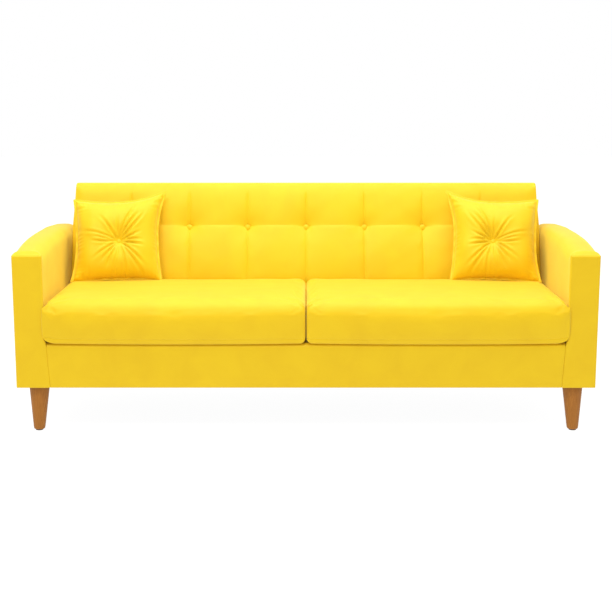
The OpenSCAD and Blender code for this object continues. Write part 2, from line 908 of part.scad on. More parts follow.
pillow_mid_z = seat_z + soft_gap + pillow_w / 2 * cos(pillow_lean);
pillow_mid_d = back_face_d(pillow_mid_z)
  - (pillow_t / 2 + pillow_back_gap) / cos(back_lean);
pillow_mid_x = arm_x - pillow_arm_gap - pillow_w / 2;

// Local X across the pillow, local Y up it, local Z out of its front
module at_pillow(side) {
  from_front() on_side(side) translate([pillow_mid_x, pillow_mid_d, pillow_mid_z])
    rotate([0, 0, -pillow_yaw]) rotate([90 - pillow_lean, 0, 0]) children();
}

// A lens in section, thick in the middle and pointed at the rim
module lens(width, thickness) {
  r = (width * width + thickness * thickness) / (4 * thickness);
  intersection() {
    translate([0, thickness / 2 - r]) circle(r = r, $fn = 96);
    translate([0, r - thickness / 2]) circle(r = r, $fn = 96);
  }
}

module pillow_solid(inset) {
  width = pillow_w - 2 * inset;
  thickness = pillow_t - 2 * inset;
  bottom_r = pillow_button_d / 2 + button_clear + inset;
  h = dimple_depth + inset + cut;
  slope = (dimple_d - pillow_button_d) / 2 / dimple_depth;
  difference() {
    intersection() {
      translate([0, width / 2, 0]) rotate([90, 0, 0]) linear_extrude(width)
        lens(width, thickness);
      translate([-width / 2, 0, 0]) rotate([0, 90, 0]) linear_extrude(width)
        rotate([0, 0, 90]) lens(width, thickness);
    }
    for (face = [0, 1]) mirror([0, 0, face]) translate([0, 0, pillow_t / 2 - dimple_depth - inset])
      cylinder(h = h, r1 = bottom_r, r2 = bottom_r + slope * h);
  }
}

module pillow_twine(clear = 0) {
  length = pillow_t - 2 * dimple_depth;
  translate([0, 0, -length / 2 - clear]) cylinder(h = length + 2 * clear, d = twine_d + 2 * clear);
}

// The seam left open at the foot is the one that is closed by hand after filling
module pillow_cover(side) {
  seam = [pillow_w / 2, 30, 1];
  color("gold") at_pillow(side) difference() {
    pillow_solid(0);
    pillow_solid(fabric_t);
    translate([0, -pillow_w / 2, 0]) cube(seam, center = true);
    pillow_twine(hole_clear);
  }
}

module pillow_fill(side) {
  color("ivory") at_pillow(side) difference() {
    pillow_solid(fabric_t);
    translate([0, 0, -pillow_t / 2]) cylinder(h = pillow_t, d = twine_d + 2 * hole_clear);
  }
}

// Two buttons tied to each other through the filling
module pillow_buttons(side) {
  color("goldenrod") at_pillow(side) {
    for (face = [0, 1]) mirror([0, 0, face]) translate([0, 0, pillow_t / 2 - dimple_depth])
      cylinder(h = pillow_button_t, d = pillow_button_d);
    pillow_twine();
  }
}

seat_front_rail();
seat_rear_rail();
seat_end_rail(left);  // seat_end_rail_left
seat_end_rail(right);  // seat_end_rail_right
seat_cross_rails();
corner_blocks();
seat_springs();
spring_clips();
seat_deck_pad();
arm_front_post(left);  // arm_left_front_post
arm_rear_post(left);  // arm_left_rear_post
arm_rails(left);  // arm_left_rails
arm_side_boards(left);  // arm_left_side_boards
arm_foam(left);  // arm_left_foam
arm_cover(left);  // arm_left_cover
arm_front_post(right);  // arm_right_front_post
arm_rear_post(right);  // arm_right_rear_post
arm_rails(right);  // arm_right_rails
arm_side_boards(right);  // arm_right_side_boards
arm_foam(right);  // arm_right_foam
arm_cover(right);  // arm_right_cover
back_upright(left);  // back_upright_left
back_upright(right);  // back_upright_right
back_centre_uprights();
back_top_rail();
back_lower_rail();
back_webbing();
back_foam();
inside_back_cover();
back_buttons();
button_twines();
outside_back_board();
outside_back_cover();
front_rail_foam();
front_rail_cover();
dust_cover();
staples();
leg(left, front);  // leg_front_left
leg(right, front);  // leg_front_right
leg(left, rear);  // leg_rear_left
leg(right, rear);  // leg_rear_right
leg_studs();
leg_plates();
leg_plate_screws();
leg_glides();
frame_bolts();
cushion_cover(left);  // seat_cushion_left_cover
cushion_foam(left);  // seat_cushion_left_foam
cushion_zip(left);  // seat_cushion_left_zip
cushion_zip_pull(left);  // seat_cushion_left_zip_pull
cushion_cover(right);  // seat_cushion_right_cover
cushion_foam(right);  // seat_cushion_right_foam
cushion_zip(right);  // seat_cushion_right_zip
cushion_zip_pull(right);  // seat_cushion_right_zip_pull
pillow_cover(left);  // throw_pillow_left_cover
pillow_fill(left);  // throw_pillow_left_fill
pillow_buttons(left);  // throw_pillow_left_buttons
pillow_cover(right);  // throw_pillow_right_cover
pillow_fill(right);  // throw_pillow_right_fill
pillow_buttons(right);  // throw_pillow_right_buttons
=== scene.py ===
# %% [markdown]
# # A box-arm sofa with a tufted back
# A sofa is a timber frame that nobody sees, dressed in foam and cloth that everybody sees. The frame
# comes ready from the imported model, and these cells make the visible dress around it: arms, front
# rail, seat cushions, tufted back, throw pillows and turned legs. Sizes and places are read from the
# frame, so every piece lands where the design says.

# %% Load the frame
import bpy
import math
import numpy as np
from mathutils import Matrix, Vector


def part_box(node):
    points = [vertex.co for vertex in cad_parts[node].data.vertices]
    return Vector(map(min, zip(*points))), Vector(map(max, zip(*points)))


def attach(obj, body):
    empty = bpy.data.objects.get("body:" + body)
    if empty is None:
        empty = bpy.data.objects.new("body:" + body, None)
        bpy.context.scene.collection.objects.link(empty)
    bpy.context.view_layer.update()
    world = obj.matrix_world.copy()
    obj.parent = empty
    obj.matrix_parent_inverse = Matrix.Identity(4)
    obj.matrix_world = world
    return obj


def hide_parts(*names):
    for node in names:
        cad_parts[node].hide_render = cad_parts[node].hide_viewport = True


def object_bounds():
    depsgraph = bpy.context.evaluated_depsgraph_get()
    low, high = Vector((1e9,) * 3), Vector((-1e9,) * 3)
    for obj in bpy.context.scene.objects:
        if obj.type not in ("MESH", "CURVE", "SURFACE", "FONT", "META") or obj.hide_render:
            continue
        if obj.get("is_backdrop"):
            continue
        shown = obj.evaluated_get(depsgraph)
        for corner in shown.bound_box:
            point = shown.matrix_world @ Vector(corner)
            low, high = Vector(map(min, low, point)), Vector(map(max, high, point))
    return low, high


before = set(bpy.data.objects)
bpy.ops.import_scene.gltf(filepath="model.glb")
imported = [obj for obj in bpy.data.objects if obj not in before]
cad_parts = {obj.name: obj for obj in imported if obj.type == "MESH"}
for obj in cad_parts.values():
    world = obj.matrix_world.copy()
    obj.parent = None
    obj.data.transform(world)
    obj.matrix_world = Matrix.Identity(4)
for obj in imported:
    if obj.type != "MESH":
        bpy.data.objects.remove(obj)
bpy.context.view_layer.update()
scene = bpy.context.scene
MM = 0.001

# %% [markdown]
# ## Places that the frame gives
# Each piece of the dress is drawn for the right-hand side of the sofa and mirrored for the left. Depths
# are measured from the front of the arms, because that is how an upholsterer marks out a sofa.

# %% Read the boxes that the pieces are built on
SIDES = {"left": -1, "right": 1}
arm_lo, arm_hi = (np.array(v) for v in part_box("arm_right_cover"))
cushion_lo, cushion_hi = (np.array(v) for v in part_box("seat_cushion_right_cover"))
back_lo, back_hi = (np.array(v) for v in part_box("inside_back_cover"))
rail_lo, rail_hi = (np.array(v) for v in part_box("front_rail_cover"))
deck_lo, deck_hi = (np.array(v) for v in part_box("seat_deck_pad"))
FRONT = arm_lo[1]
SEAT_HALF = arm_lo[0]
print("seat half width", round(SEAT_HALF, 4), "arm top", round(arm_hi[2], 4))

# %% [markdown]
# ## Helpers for soft forms
# An upholstered form is close to a box whose edges are rounded and whose faces swell. A grid wrapped
# over a box keeps its rows and columns, so seams can follow them, and cloth simulation likes its even
# squares. The edges are rounded by pushing every point out from a smaller box inside.

# %% A grid over a box
def plane_quads(plane, flipped):
    """Quads between the numbered points of a grid, turned over if flipped."""
    ring = [plane[:-1, :-1], plane[1:, :-1], plane[1:, 1:], plane[:-1, 1:]]
    return np.stack(ring[::-1] if flipped else ring, -1).reshape(-1, 4)


def box_grid(xs, ys, zs):
    """Points and outward quads of a box whose faces are ruled by the three lists of places."""
    shape = (len(xs), len(ys), len(zs))
    skin = np.zeros(shape, bool)
    skin[[0, -1]] = skin[:, [0, -1]] = skin[:, :, [0, -1]] = True
    number = np.full(shape, -1)
    number[skin] = np.arange(skin.sum())
    i, j, k = np.nonzero(skin)
    points = np.stack([np.asarray(xs)[i], np.asarray(ys)[j], np.asarray(zs)[k]], 1)
    planes = ((number[0], True), (number[-1], False), (number[:, 0], False),
              (number[:, -1], True), (number[:, :, 0], True), (number[:, :, -1], False))
    return points, np.concatenate([plane_quads(plane, flipped) for plane, flipped in planes])


def ruled(low, high, step, fine=(), edge=0.0):
    """Places from low to high about a step apart, closer together in the rounded edges and at fine."""
    turn = edge * (1 - np.tan(np.radians([45, 34, 23, 12, 0])))
    ends = np.concatenate([low + turn, high - turn]) if edge else np.array([low, high])
    inner = np.linspace(low + edge, high - edge, max(2, round((high - low - 2 * edge) / step) + 1))
    places = np.concatenate([ends, inner, np.asarray(fine, float)])
    places = np.unique(np.round(places[(places >= low) & (places <= high)], 6))
    keep = [places[0]]
    for place in places[1:]:
        if place - keep[-1] > 0.0009:
            keep.append(place)
    keep[-1] = high
    return np.array(keep)


def rounded(points, low, high, radius):
    """Rounds all edges of a box. Gives the points and the way that each one faces."""
    inner = np.clip(points, np.asarray(low) + radius, np.asarray(high) - radius)
    away = points - inner
    facing = away / np.maximum(np.linalg.norm(away, axis=1, keepdims=True), 1e-9)
    return inner + facing * radius, facing


def round_edge(points, axes, corner, ways, radius):
    """Rounds one edge of a box, whose corner faces the two ways in the plane of the two axes."""
    points = points.copy()
    centre = [corner[n] - ways[n] * radius for n in (0, 1)]
    a, b = (ways[n] * (points[:, axes[n]] - centre[n]) for n in (0, 1))
    past = (a > 0) & (b > 0)
    scale = np.where(past, np.maximum(a, b) / np.maximum(np.hypot(a, b), 1e-9), 1)
    for n, reach in ((0, a), (1, b)):
        points[:, axes[n]] = np.where(past, centre[n] + ways[n] * reach * scale, points[:, axes[n]])
    return points


def round_edges(points, low, high, edges):
    """Rounds some edges of a sharp box, one after the other, and tells how each point faces."""
    for axes, ways, radius in edges:
        corner = [high[axis] if way > 0 else low[axis] for axis, way in zip(axes, ways)]
        points = round_edge(points, axes, corner, ways, radius)
    reach = max(np.max(radius) for _, _, radius in edges)
    away = points - np.clip(points, low + reach, high - reach)
    return points, away / np.maximum(np.linalg.norm(away, axis=1, keepdims=True), 1e-9)


def ramp(value, start, end):
    """Smoothly 0 before start and 1 after end."""
    t = np.clip((value - start) / (end - start), 0, 1)
    return t * t * (3 - 2 * t)


def bell(value, middle, width):
    return np.exp(-(((value - middle) / width) ** 2))


def soft_waves(points, size, seed, octaves=3):
    """An uneven swelling between about -1 and 1, the same on every run."""
    draw = np.random.default_rng(seed)
    total = np.zeros(len(points))
    for octave in range(octaves):
        for _ in range(4):
            way = draw.normal(size=3)
            way /= np.linalg.norm(way) * size / 1.7 ** octave
            total += np.sin(points @ way * math.tau + draw.uniform(0, math.tau)) / 3 / 1.6 ** octave
    return total


# %% Meshes from arrays
def mesh_object(name, points, quads):
    mesh = bpy.data.meshes.new(name)
    mesh.from_pydata([tuple(p) for p in points], [], [tuple(int(i) for i in q) for q in quads])
    mesh.update()
    mesh.shade_smooth()
    piece = bpy.data.objects.new(name, mesh)
    scene.collection.objects.link(piece)
    return piece


def mirrored(points, quads):
    return points * np.array([-1, 1, 1]), np.asarray(quads)[:, ::-1]


def points_of(piece):
    co = np.empty(len(piece.data.vertices) * 3)
    piece.data.vertices.foreach_get("co", co)
    return co.reshape(-1, 3)


def move_points(piece, points):
    piece.data.vertices.foreach_set("co", np.asarray(points).ravel())
    piece.data.update()


def quads_of(piece):
    return np.array([tuple(face.vertices) for face in piece.data.polygons])


def as_plain_mesh(piece):
    """The piece as its modifiers leave it, with the modifiers gone."""
    graph = bpy.context.evaluated_depsgraph_get()
    graph.update()
    made = bpy.data.meshes.new_from_object(piece.evaluated_get(graph))
    piece.modifiers.clear()
    piece.data = made
    return piece


def subdivided(piece, levels=1):
    modifier = piece.modifiers.new("Subdivision", "SUBSURF")
    modifier.levels = modifier.render_levels = levels
    modifier.boundary_smooth = "PRESERVE_CORNERS"
    return as_plain_mesh(piece)


def dress(piece, body, material, replaces=()):
    """Gives a finished piece its material and its body, and hides the nodes that it stands for."""
    piece.data.materials.clear()
    piece.data.materials.append(material)
    piece.data.shade_smooth()
    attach(piece, body)
    if replaces:
        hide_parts(*replaces)
    print(f"{piece.name}: {len(piece.data.polygons)} faces")
    return piece


# %% [markdown]
# ## Swelling cloth
# Foam pushes its cover out until the cloth is tight. Blender's cloth with air pressure does the same:
# the points that a seam, a button or the frame holds are pinned, the rest swells, and a limit on how
# far a point may travel keeps the piece to its size. The starting shape is already close to the swollen
# one.

# %% Cloth under pressure
def swell(piece, pinned, pressure, limit, frames=20, stiffness=20.0, bending=0.5):
    """Swells a piece by cloth simulation. Each point moves at most limit metres."""
    start = points_of(piece)
    pins = piece.vertex_groups.new(name="held")
    pins.add([int(i) for i in np.nonzero(pinned)[0]], 1.0, "REPLACE")
    cloth = piece.modifiers.new("Cloth", "CLOTH")
    settings = cloth.settings
    settings.quality = 5
    settings.mass = 0.3
    settings.tension_stiffness = settings.compression_stiffness = stiffness
    settings.shear_stiffness = stiffness / 3
    settings.bending_stiffness = bending
    settings.air_damping = 2
    settings.use_pressure = True
    settings.uniform_pressure_force = pressure
    settings.effector_weights.gravity = 0
    settings.vertex_group_mass = "held"
    cloth.collision_settings.use_collision = False
    cloth.point_cache.frame_start = 1
    cloth.point_cache.frame_end = frames
    for number in range(1, frames + 1):
        scene.frame_set(number)
    graph = bpy.context.evaluated_depsgraph_get()
    swollen = np.empty(len(start) * 3)
    piece.evaluated_get(graph).data.vertices.foreach_get("co", swollen)
    travel = swollen.reshape(-1, 3) - start
    length = np.linalg.norm(travel, axis=1, keepdims=True)
    capped = travel / np.maximum(length, 1e-9) * limit * np.tanh(length / limit)
    piece.modifiers.clear()
    piece.vertex_groups.clear()
    scene.frame_set(1)
    move_points(piece, start + capped)
    print(f"{piece.name} swelled by up to {length.max() / MM:.1f} mm, kept to {limit / MM:.0f} mm")
    return piece


# %% [markdown]
# ## Finishes that several materials share
# Cloth has a thread pattern and a soft mottling where the pile lies this way or that. Wood has long
# grain. Both are node groups, so velvet, platform cloth and webbing can share one and the legs and the
# frame the other, each with its own values. A group gives out only masks and heights; the shader
# stays in the material.

# %% Build a shader node group
def shader_group(name, inputs, outputs):
    tree = bpy.data.node_groups.new(name, "ShaderNodeTree")
    for label, kind, value in inputs:
        socket = tree.interface.new_socket(label, in_out="INPUT", socket_type=kind)
        socket.default_value = value
    for label, kind in outputs:
        tree.interface.new_socket(label, in_out="OUTPUT", socket_type=kind)
    return tree, tree.nodes.new("NodeGroupInput"), tree.nodes.new("NodeGroupOutput")


def add(tree, kind, settings=None, **links):
    """A node with its settings, and its inputs linked or set by name with spaces as underscores."""
    node = tree.nodes.new(kind)
    for key, value in (settings or {}).items():
        setattr(node, key, value)
    for key, value in links.items():
        socket = node.inputs[int(key[1:])] if key[0] == "i" and key[1:].isdigit() else \
            node.inputs[key.replace("_", " ")]
        if isinstance(value, bpy.types.NodeSocket):
            tree.links.new(value, socket)
        else:
            socket.default_value = value
    return node


def math_node(tree, operation, a, b=0.0):
    return add(tree, "ShaderNodeMath", {"operation": operation}, i0=a, i1=b).outputs[0]


def cloth_group():
    tree, given, result = shader_group(
        "cloth surface",
        [("Threads per metre", "NodeSocketFloat", 900.0), ("Mottle size", "NodeSocketFloat", 0.12),
         ("Thread share", "NodeSocketFloat", 0.5)],
        [("Height", "NodeSocketFloat"), ("Mottle", "NodeSocketFloat"), ("Fleck", "NodeSocketFloat")])
    place = tree.nodes.new("ShaderNodeTexCoord").outputs["Object"]
    angle = math_node(tree, "MULTIPLY", given.outputs["Threads per metre"], math.tau)
    turned = add(tree, "ShaderNodeVectorMath", {"operation": "SCALE"}, i0=place, Scale=angle)
    waves = add(tree, "ShaderNodeVectorMath", {"operation": "SINE"}, i0=turned.outputs[0])
    thread = add(tree, "ShaderNodeVectorMath", {"operation": "DOT_PRODUCT"}, i0=waves.outputs[0],
                 i1=(0.33, 0.33, 0.33))
    finer = math_node(tree, "MULTIPLY", given.outputs["Threads per metre"], 1.3)
    pile = add(tree, "ShaderNodeTexNoise", Vector=place, Scale=finer, Detail=3.0, Roughness=0.7)
    threads = math_node(tree, "MULTIPLY", thread.outputs["Value"], given.outputs["Thread share"])
    tree.links.new(math_node(tree, "ADD", threads, pile.outputs["Fac"]), result.inputs["Height"])
    size = math_node(tree, "DIVIDE", 1.0, given.outputs["Mottle size"])
    mottle = add(tree, "ShaderNodeTexNoise", Vector=place, Scale=size, Detail=4.0, Roughness=0.55,
                 Distortion=0.6)
    spread = add(tree, "ShaderNodeMapRange", Value=mottle.outputs["Fac"], From_Min=0.32, From_Max=0.68)
    tree.links.new(spread.outputs["Result"], result.inputs["Mottle"])
    tree.links.new(pile.outputs["Fac"], result.inputs["Fleck"])
    return tree


def grain_group():
    tree, given, result = shader_group(
        "wood grain",
        [("Stretch", "NodeSocketVector", (1.0, 1.0, 0.08)), ("Ring size", "NodeSocketFloat", 0.012),
         ("Pore strength", "NodeSocketFloat", 0.3)],
        [("Tone", "NodeSocketFloat"), ("Height", "NodeSocketFloat")])
    place = tree.nodes.new("ShaderNodeTexCoord").outputs["Object"]
    drawn = add(tree, "ShaderNodeVectorMath", {"operation": "MULTIPLY"}, i0=place,
                i1=given.outputs["Stretch"]).outputs[0]
    size = math_node(tree, "DIVIDE", 1.0, given.outputs["Ring size"])
    broad = add(tree, "ShaderNodeTexNoise", Vector=drawn, Scale=size, Detail=5.0, Roughness=0.6,
                Distortion=1.4)
    figure = add(tree, "ShaderNodeTexWave", {"wave_type": "RINGS", "rings_direction": "Y"},
                 Vector=drawn, Scale=size, Distortion=7.0, Detail=3.0, Detail_Scale=1.6)
    pores = add(tree, "ShaderNodeTexNoise", Vector=drawn, Scale=math_node(tree, "MULTIPLY", size, 22.0),
                Detail=2.0)
    holes = add(tree, "ShaderNodeMapRange", Value=pores.outputs["Fac"], From_Min=0.55, From_Max=0.72)
    pored = math_node(tree, "MULTIPLY", holes.outputs["Result"], given.outputs["Pore strength"])
    mixed = math_node(tree, "ADD", math_node(tree, "MULTIPLY", broad.outputs["Fac"], 0.62),
                      math_node(tree, "MULTIPLY", figure.outputs["Fac"], 0.38))
    tone = add(tree, "ShaderNodeMath", {"operation": "SUBTRACT", "use_clamp": True}, i0=mixed,
               i1=pored).outputs[0]
    tree.links.new(tone, result.inputs["Tone"])
    tree.links.new(tone, result.inputs["Height"])
    return tree


def scuff_group():
    tree, given, result = shader_group(
        "metal scuffs", [("Scale", "NodeSocketFloat", 60.0)],
        [("Scuff", "NodeSocketFloat"), ("Height", "NodeSocketFloat")])
    place = tree.nodes.new("ShaderNodeTexCoord").outputs["Object"]
    cloud = add(tree, "ShaderNodeTexNoise", Vector=place, Scale=given.outputs["Scale"], Detail=6.0,
                Roughness=0.65)
    drawn = add(tree, "ShaderNodeVectorMath", {"operation": "MULTIPLY"}, i0=place,
                i1=(1.0, 1.0, 9.0)).outputs[0]
    fine = add(tree, "ShaderNodeTexNoise", Vector=drawn, Detail=3.0,
               Scale=math_node(tree, "MULTIPLY", given.outputs["Scale"], 14.0))
    tree.links.new(cloud.outputs["Fac"], result.inputs["Scuff"])
    tree.links.new(fine.outputs["Fac"], result.inputs["Height"])
    return tree


CLOTH, GRAIN, SCUFF = cloth_group(), grain_group(), scuff_group()
print("shared finishes:", CLOTH.name, GRAIN.name, SCUFF.name)

# %% [markdown]
# ## Materials
# The cloth is a short-pile velvet in strong yellow. Velvet is matt when seen straight on, and its
# fibre tips catch light when seen along the surface, so it has sheen. The legs are oiled hardwood, and
# the frame inside is plain softwood. Fixed values such as sheen sit on the shader itself.

# %% Helpers for materials
def material(name, roughness, metallic=0.0, **fixed):
    made = bpy.data.materials.new(name)
    made.use_nodes = True
    tree = made.node_tree
    shader = tree.nodes["Principled BSDF"]
    shader.inputs["Roughness"].default_value = roughness
    shader.inputs["Metallic"].default_value = metallic
    for key, value in fixed.items():
        shader.inputs[key.replace("_", " ")].default_value = value
    return made, tree, shader


def shared(tree, group, values):
    node = tree.nodes.new("ShaderNodeGroup")
    node.node_tree = group
    for key, value in values.items():
        node.inputs[key].default_value = value
    return node


def mix_colours(tree, mask, first, second):
    node = add(tree, "ShaderNodeMix", {"data_type": "RGBA"})
    colours = [s for s in node.inputs if s.type == "RGBA"]
    for socket, value in zip(colours, (first, second)):
        if isinstance(value, bpy.types.NodeSocket):
            tree.links.new(value, socket)
        else:
            socket.default_value = (*value, 1.0)
    tree.links.new(mask, node.inputs["Factor"])
    return [s for s in node.outputs if s.type == "RGBA"][0]


def bumped(tree, shader, height, strength, distance):
    bump = add(tree, "ShaderNodeBump", Height=height, Strength=strength, Distance=distance)
    tree.links.new(bump.outputs["Normal"], shader.inputs["Normal"])


def glossed(tree, shader, mask, dull, bright):
    """Makes the roughness follow a mask, from dull where it is 0 to bright where it is 1."""
    gloss = add(tree, "ShaderNodeMapRange", Value=mask, To_Min=dull, To_Max=bright)
    tree.links.new(gloss.outputs["Result"], shader.inputs["Roughness"])


def cloth_material(name, pale, deep, threads=1100.0, share=0.4, mottle=0.12, depth=0.00025,
                   roughness=0.85, **fixed):
    made, tree, shader = material(name, roughness, **fixed)
    cloth = shared(tree, CLOTH, {"Threads per metre": threads, "Thread share": share,
                                 "Mottle size": mottle})
    base = mix_colours(tree, cloth.outputs["Mottle"], deep, pale)
    dark = tuple(c * 0.82 for c in deep)
    flecked = mix_colours(tree, math_node(tree, "MULTIPLY", cloth.outputs["Fleck"], 0.5), base, dark)
    tree.links.new(flecked, shader.inputs["Base Color"])
    bumped(tree, shader, cloth.outputs["Height"], 0.35, depth)
    return made


def wood_material(name, pale, deep, stretch, rings, pores, roughness, bump=0.15, **fixed):
    made, tree, shader = material(name, roughness, **fixed)
    grain = shared(tree, GRAIN, {"Stretch": stretch, "Ring size": rings, "Pore strength": pores})
    tree.links.new(mix_colours(tree, grain.outputs["Tone"], deep, pale), shader.inputs["Base Color"])
    glossed(tree, shader, grain.outputs["Tone"], roughness + 0.12, roughness - 0.06)
    bumped(tree, shader, grain.outputs["Height"], bump, 0.0004)
    return made


def metal_material(name, bright, dull, roughness, scale):
    made, tree, shader = material(name, roughness, metallic=1.0)
    scuff = shared(tree, SCUFF, {"Scale": scale})
    tree.links.new(mix_colours(tree, scuff.outputs["Scuff"], dull, bright), shader.inputs["Base Color"])
    glossed(tree, shader, scuff.outputs["Scuff"], roughness + 0.15, roughness - 0.08)
    bumped(tree, shader, scuff.outputs["Height"], 0.08, 0.0002)
    return made


# %% The sofa's materials
VELVET = cloth_material("yellow velvet", (0.88, 0.585, 0.0035), (0.83, 0.530, 0.0020),
                        roughness=0.52, Sheen_Weight=0.5, Sheen_Roughness=0.5,
                        Sheen_Tint=(1.0, 0.97, 0.28, 1.0), Specular_IOR_Level=0.26)
PLATFORM = cloth_material("platform cloth", (0.80, 0.70, 0.42), (0.74, 0.62, 0.34), threads=700.0,
                          share=1.0, depth=0.0004)
DUST_CLOTH = cloth_material("dust cloth", (0.030, 0.030, 0.032), (0.018, 0.018, 0.020),
                            threads=500.0, share=1.0)
WEBBING = cloth_material("jute webbing", (0.46, 0.34, 0.19), (0.36, 0.25, 0.13), threads=450.0,
                         share=1.4, depth=0.0006)
TWINE = cloth_material("button twine", (0.75, 0.68, 0.52), (0.62, 0.54, 0.38), threads=1800.0)
ZIP_TAPE = cloth_material("zip tape", (0.80, 0.47, 0.02), (0.70, 0.38, 0.01), threads=1500.0, share=1.0)
LEG_WOOD = wood_material("oiled leg wood", (0.54, 0.215, 0.030), (0.27, 0.090, 0.010),
                         (1.0, 1.0, 0.07), 0.011, 0.35, 0.5, Specular_IOR_Level=0.25)
SOFTWOOD = ((0.74, 0.52, 0.30), (0.58, 0.36, 0.17))
ALONG_X, ALONG_Y, ALONG_Z = (0.05, 1.0, 1.0), (1.0, 0.05, 1.0), (1.0, 1.0, 0.05)
RAIL_WOOD, POST_WOOD, DEEP_WOOD = (
    wood_material(f"softwood {use}", *SOFTWOOD, way, 0.014, 0.15, 0.62)
    for use, way in (("rail", ALONG_X), ("post", ALONG_Z), ("cross piece", ALONG_Y)))
PLYWOOD = wood_material("plywood", (0.78, 0.60, 0.38), (0.60, 0.42, 0.23), (12.0, 1.0, 0.15), 0.03,
                        0.2, 0.6)
HARDBOARD = wood_material("hardboard", (0.36, 0.20, 0.09), (0.26, 0.13, 0.05), (1.0, 1.0, 1.0),
                          0.004, 0.5, 0.7)
SPRING_STEEL = metal_material("spring steel", (0.42, 0.43, 0.45), (0.25, 0.25, 0.27), 0.38, 90.0)
ZINC = metal_material("zinc plate", (0.68, 0.68, 0.66), (0.50, 0.50, 0.47), 0.34, 70.0)
BRASS = metal_material("zip brass", (0.80, 0.58, 0.24), (0.55, 0.36, 0.12), 0.3, 120.0)
CLIP = metal_material("clip steel", (0.10, 0.10, 0.11), (0.05, 0.05, 0.06), 0.5, 90.0)
GLIDE = cloth_material("glide nylon", (0.020, 0.020, 0.022), (0.012, 0.012, 0.014), threads=900.0,
                       share=0.0, roughness=0.55, depth=0.0001)
print(len(bpy.data.materials), "materials")

# %% [markdown]
# ## Camera, light and floor
# The sofa is seen from straight in front, from the chest height of someone standing well back, with a
# long lens. The light is that of a white studio: a big soft source overhead, which makes the seat and
# the arm tops palest, a second one high up in front and a little to the left, and white surroundings
# that are brightest behind the sofa.

# %% Camera
CAMERA_DISTANCE = 4.519
CAMERA_HEIGHT = 1.318
CAMERA_TILT = 10.57
SENSOR_WIDTH = 36.0
LENS_LENGTH = 75.47
lens = bpy.data.cameras.new("studio camera")
lens.sensor_width = SENSOR_WIDTH
lens.lens = LENS_LENGTH
camera = bpy.data.objects.new("studio camera", lens)
camera.location = (0, FRONT - CAMERA_DISTANCE, CAMERA_HEIGHT)
camera.rotation_euler = (math.radians(90 - CAMERA_TILT), 0, 0)
scene.collection.objects.link(camera)
scene.camera = camera


# %% Light
def soft_light(name, place, target, size, power):
    data = bpy.data.lights.new(name, "AREA")
    data.shape = "RECTANGLE"
    data.size, data.size_y = size
    data.energy = power
    light = bpy.data.objects.new(name, data)
    light.location = place
    aim = Vector(target) - Vector(place)
    light.rotation_euler = aim.to_track_quat("-Z", "Y").to_euler()
    scene.collection.objects.link(light)


soft_light("ceiling softbox", place=(0, -0.2, 3.2), target=(0, 0, 0.4), size=(3.6, 1.8), power=84)
soft_light("front softbox", place=(-0.9, -3.4, 4.2), target=(0, 0, 0.5), size=(2.4, 1.2), power=95)
world = bpy.data.worlds.new("white studio")
world.use_nodes = True
sky = world.node_tree
sky.nodes["Background"].inputs["Color"].default_value = (1, 1, 1, 1)
way = sky.nodes.new("ShaderNodeTexCoord").outputs["Generated"]
towards_wall = add(sky, "ShaderNodeSeparateXYZ", Vector=way).outputs["Y"]
brightness = add(sky, "ShaderNodeMapRange", Value=towards_wall, From_Min=-0.1, From_Max=0.75,
                 To_Min=0.5, To_Max=1.0)
sky.links.new(brightness.outputs["Result"], sky.nodes["Background"].inputs["Strength"])
scene.world = world
scene.view_settings.view_transform = "Standard"
scene.view_settings.look = "None"

# %% Floor
FLOOR_REACH = 14.0
FLOOR_DARK, FLOOR_PALE = (0.14, 0.14, 0.14), (0.16, 0.16, 0.16)
floor_material, floor_tree, floor_shader = material("pale floor", 0.9, Emission_Strength=0.95)
floor_shader.inputs["Emission Color"].default_value = (1, 1, 1, 1)
floor_place = floor_tree.nodes.new("ShaderNodeTexCoord").outputs["Object"]
floor_cloud = add(floor_tree, "ShaderNodeTexNoise", Vector=floor_place, Scale=1.2, Detail=2.0)
floor_colour = mix_colours(floor_tree, floor_cloud.outputs["Fac"], FLOOR_DARK, FLOOR_PALE)
floor_tree.links.new(floor_colour, floor_shader.inputs["Base Color"])
floor_corners = np.array([[-1, -1, 0], [1, -1, 0], [1, 1, 0], [-1, 1, 0]]) * FLOOR_REACH
floor = mesh_object("floor", floor_corners, [(0, 1, 2, 3)])
floor.data.materials.append(floor_material)
floor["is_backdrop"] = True

# %% [markdown]
# ## Arms
# Each arm is a box of boards, padded and covered. Its front is a flat panel with square corners, sewn
# to the long cover that goes over the top, and behind that seam the padding stands up and rounds over
# into the seat. A ruled box gives those rows: near the panel its edges stay sharp, and the radius
# grows within the first few centimetres behind it.

# %% Arm covers
PANEL_EDGE = 3.5 * MM
INNER_ROUND = 44 * MM
OUTER_ROUND = 25 * MM
ARM_PUFF = 19 * MM
ARM_CROWN = 18 * MM
REAR_ROUND = 40 * MM
PANEL_GROOVE = 3.2 * MM
GROOVE_BEHIND = 6.2 * MM
GROOVE_WIDTH = 1.7 * MM
ROUNDED_BY = 0.05
BARELY_ROUND = 1e-5
PUFF_FROM = 0.48
CENTRE_RISE = 2.5 * MM
ARM_WAVES = 0.9 * MM
RAIL_TOP = rail_hi[2]
NEAR_EDGE = np.array([1.2, 2.4, 3.5]) * MM
NEAR_PANEL = np.array([1.2, 2.4, 3.5, 4.8, 6, 7.2, 8.6, 11, 15, 20, 26, 33, 41, 50]) * MM


def panel_tuck(z):
    """How far the front panel reaches in over the end of the rail, at height z."""
    return ramp(RAIL_TOP - z, -6 * MM, 6 * MM) * (8 + 8 * ramp(RAIL_TOP - z, 0, 0.17)) * MM


